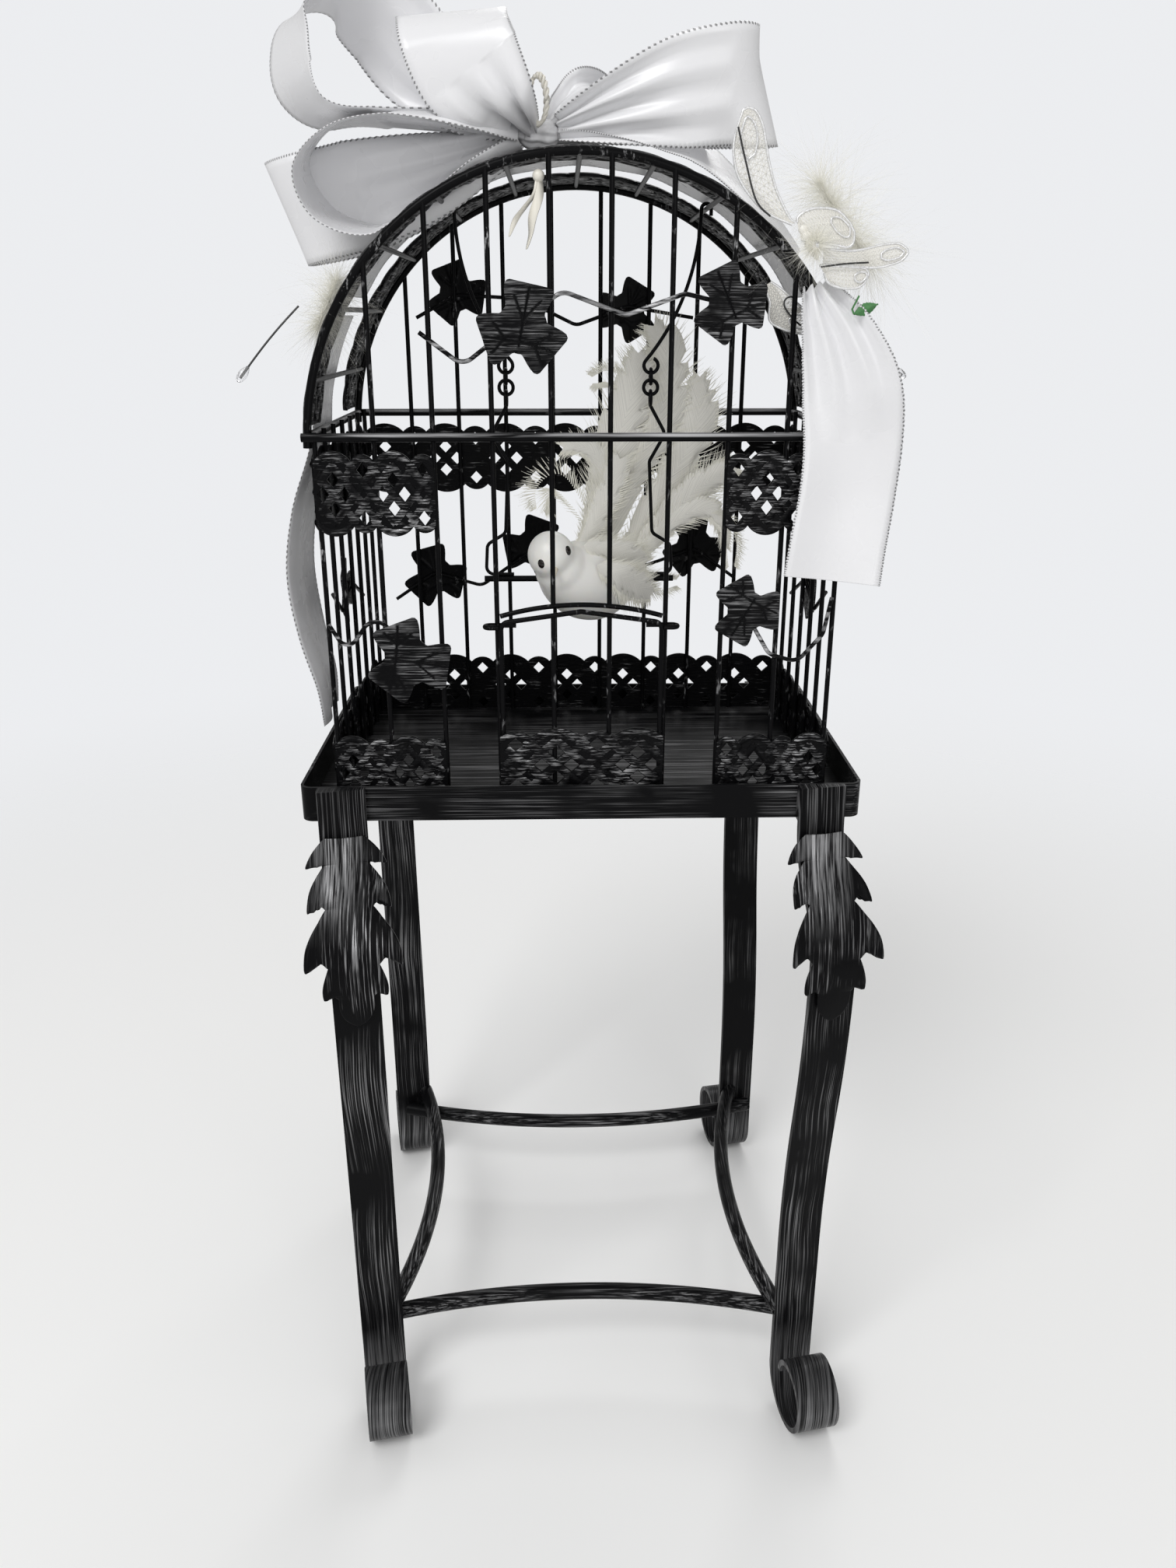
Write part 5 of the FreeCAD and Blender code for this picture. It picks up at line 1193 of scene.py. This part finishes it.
def wing_spot(wing, u, v):
    """A point of a wing: u runs from its root to its tip, v from one edge to the other."""
    low, high, depth = wing
    steps = 40
    a, b = (Vector(through(edge, steps)[round(steps * u)]) for edge in (low, high))
    spot = a.lerp(b, v)
    return Vector((spot.x, -depth - 0.9 * math.sin(math.pi * v) * math.sin(math.pi * u), spot.y))


films, nets, cords = [], [], []
for i, wing in enumerate(WINGS):
    films.append([[wing_spot(wing, r / 40, c / 10) for c in range(11)] for r in range(41)])
    nets.append([[wing_spot(wing, r / 20, c / 5) + Vector((0, -0.1, 0)) for c in range(6)] for r in range(21)])
    edge = [wing_spot(wing, k / 40, 1) for k in range(41)] + [wing_spot(wing, 1 - k / 40, 0) for k in range(41)]
    cords.append(tube_along(f"wing_edge_{i}", edge, 0.6))
    ring = [wing_spot(wing, 0.72 + 0.15 * math.cos(k / 4), 0.5 + 0.28 * math.sin(k / 4)) + Vector((0, -0.5, 0))
            for k in range(26)]
    cords.append(tube_along(f"wing_ring_{i}", ring, 0.45))
film = patch_mesh("butterfly_film", films)
thicken(film, 0.12)
net = patch_mesh("butterfly_net", nets)
bpy.ops.object.mode_set(mode="EDIT")
bpy.ops.mesh.select_all(action="SELECT")
bpy.ops.mesh.poke()
bpy.ops.object.mode_set(mode="OBJECT")
threads = net.modifiers.new("threads", "WIREFRAME")
threads.thickness = 0.22 * MM
bpy.ops.object.modifier_apply(modifier="threads")
edging = join("butterfly_edging", cords)
print("wings:", len(film.data.polygons), len(net.data.polygons), len(edging.data.polygons), "faces")

# %% Butterfly body and wires
BUTTERFLY = Vector((97.3, -88.6, 631))
INSECT_WIDE, INSECT_LONG = 2.3, 9
INSECT_LEAN = Vector((-0.5, 0, 0.86)).to_track_quat("Z", "Y").to_matrix()


def ringed(x, y, z):
    """The insect's body: a spindle with rings."""
    ring = 1 - 0.18 * math.cos(16 * z)
    return BUTTERFLY + INSECT_LEAN @ Vector((x * INSECT_WIDE * ring, y * INSECT_WIDE * ring, z * INSECT_LONG))


insect = shaped_ball("butterfly_body", 20, 28, ringed)
dark_wire = flecked("dark_wire", (0.02, 0.02, 0.02), 0.4, 0.25, 0.6, 600.0)
STAYS = [[(64.8, -92, 673.4), (68.7, -92, 660), (73.6, -92, 646), (80, -91.5, 640)],
         [(102.7, -92, 620.3), (112.4, -92.5, 621.5), (123.1, -92, 622.1)],
         [(96.2, -72.5, 607.2), (94.2, -72.5, 608.8), (91.4, -72.5, 607.4), (92, -72.5, 603.6),
          (98.3, -72.5, 597.4), (106.6, -72.5, 593.3), (112, -73, 591)]]
stays = [tube_along(f"stay_{i}", [Vector(row) for row in through(rows, 24)], 0.42) for i, rows in enumerate(STAYS)]
stay = join("butterfly_wires", stays)
hand_over(film, "cage", "lace", sheer, "butterfly")
for piece, finish in ((net, thread), (edging, glitter), (insect, thread), (stay, dark_wire)):
    hand_over(piece, "cage", "lace", finish)
print("butterfly of", len(WINGS), "wings")

# %% Butterfly fluff
dice = random.Random(11)
grown = []
for _ in range(1000):
    out = Vector([dice.gauss(0, 1), dice.gauss(0, 0.7), dice.gauss(0, 1)]).normalized()
    root = Vector((100, -91, 629)) + out * 2
    reach = 5 + 9 * dice.random() ** 2
    sway = Vector([dice.gauss(0, 0.3) for _ in range(3)])
    points = [root + (out * f + sway * f * f) * reach for f in (0, 0.25, 0.5, 0.75, 1)]
    grown.append((points, out.cross(sway).normalized(), dice.uniform(0.16, 0.26)))
fluff = strand_mesh("butterfly_fluff", grown)
hand_over(fluff, "cage", "feather_puff", puff_down)
print("fluff of", len(fluff.data.polygons), "faces")

# %% [markdown]
# ## Leaf sprig, beaded wires
# The small green leaf has a folded midrib, so its blade is a grid bent down the middle. On each side a clear drop
# of resin ends a dark wire: it is glass on the outside, so the pale room shows through it.

# %% Leaf sprig
SPRIG = Vector((124, -89.6, 603.5))
bpy.ops.mesh.primitive_grid_add(x_subdivisions=28, y_subdivisions=10, size=2)
blade = bpy.context.object
blade.name = "green_sprig"
turn = math.radians(22)
for corner in blade.data.vertices:
    u, v = corner.co.x, corner.co.y
    half = 2.6 * (1 - abs(u) ** 1.7) * (1 + 0.07 * math.cos(26 * u))
    along, up = 5.6 * u, half * v
    corner.co = (SPRIG + Vector((along * math.cos(turn) - up * math.sin(turn), 0.9 * abs(v) - 0.4 * u * u,
                                 along * math.sin(turn) + up * math.cos(turn)))) * MM
thicken(blade, 0.4)
bpy.ops.object.shade_smooth()
foot = SPRIG - Vector((5.4 * math.cos(turn), 0, 5.4 * math.sin(turn)))
stalk = tube_along("sprig_stalk", [foot, foot + Vector((-1, 0, 2)), foot + Vector((1.6, -0.3, 7.5))], 0.45)
sprig = join("green_sprig", [blade, stalk])
leaf_green, shader = plain_shader("leaf_green", (0.04, 0.17, 0.05), 0.5)
veins = own_noise(leaf_green, 700.0, 3.0)
green = blend_colours(leaf_green, veins, (0.025, 0.11, 0.03), (0.08, 0.27, 0.08))
feed(leaf_green, shader.inputs["Base Color"], green)
hand_over(sprig, "cage", "green_leaf", leaf_green, "leaf_sprig")
print("sprig of", len(sprig.data.polygons), "faces")

# %% Beaded wires
low, high = (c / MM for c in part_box("pick_wire_left"))
TIP = Vector((low.x + 2.5, (low.y + high.y) / 2 - 2, low.z + 2.5))
BUNCH = Vector((-127, -63.7, 605))
left_bend = [BUNCH.lerp(TIP, k / 10) + Vector((0, 0, 1.2 * math.sin(math.pi * k / 10))) for k in range(11)]
DROP_WIDE, DROP_LONG, DROP_SET = 2.1, 4.4, 2.2
RIGHT_WIRE = [(116, -80, 593), (123, -80, 589), (130, -80.5, 584), (138.7, -81, 579.2), (144.6, -81, 576)]
right_bend = [Vector(row) for row in through(RIGHT_WIRE, 10)]


def beaded(name, bend):
    """A bent wire and the clear drop at its end."""
    wire = tube_along(f"{name}_wire", bend, 0.5)
    run = (bend[-1] - bend[-2]).normalized()
    lean = run.to_track_quat("Z", "X").to_matrix()

    def tear(x, y, z):
        taper = 1 - 0.35 * max(0, -z)
        spot = Vector((x * DROP_WIDE * taper, y * DROP_WIDE * taper, z * DROP_LONG))
        return bend[-1] - run * DROP_SET + lean @ spot

    return wire, shaped_ball(f"{name}_drop", 28, 20, tear)


resin, shader = plain_shader("clear_resin", (0.96, 0.96, 0.97), 0.06, Transmission_Weight=0.85, IOR=1.4)
vary_gloss(resin, shader, 500.0, 0.03, 0.2)
for name, bend, nodes in (("left", left_bend, ["pick_wire_left"]), ("right", right_bend, [])):
    wire, drop = beaded(name, bend)
    hand_over(wire, "cage", "pick_wire", dark_wire, *nodes)
    hand_over(drop, "cage", "pick_wire", resin)
print("two beaded wires made")
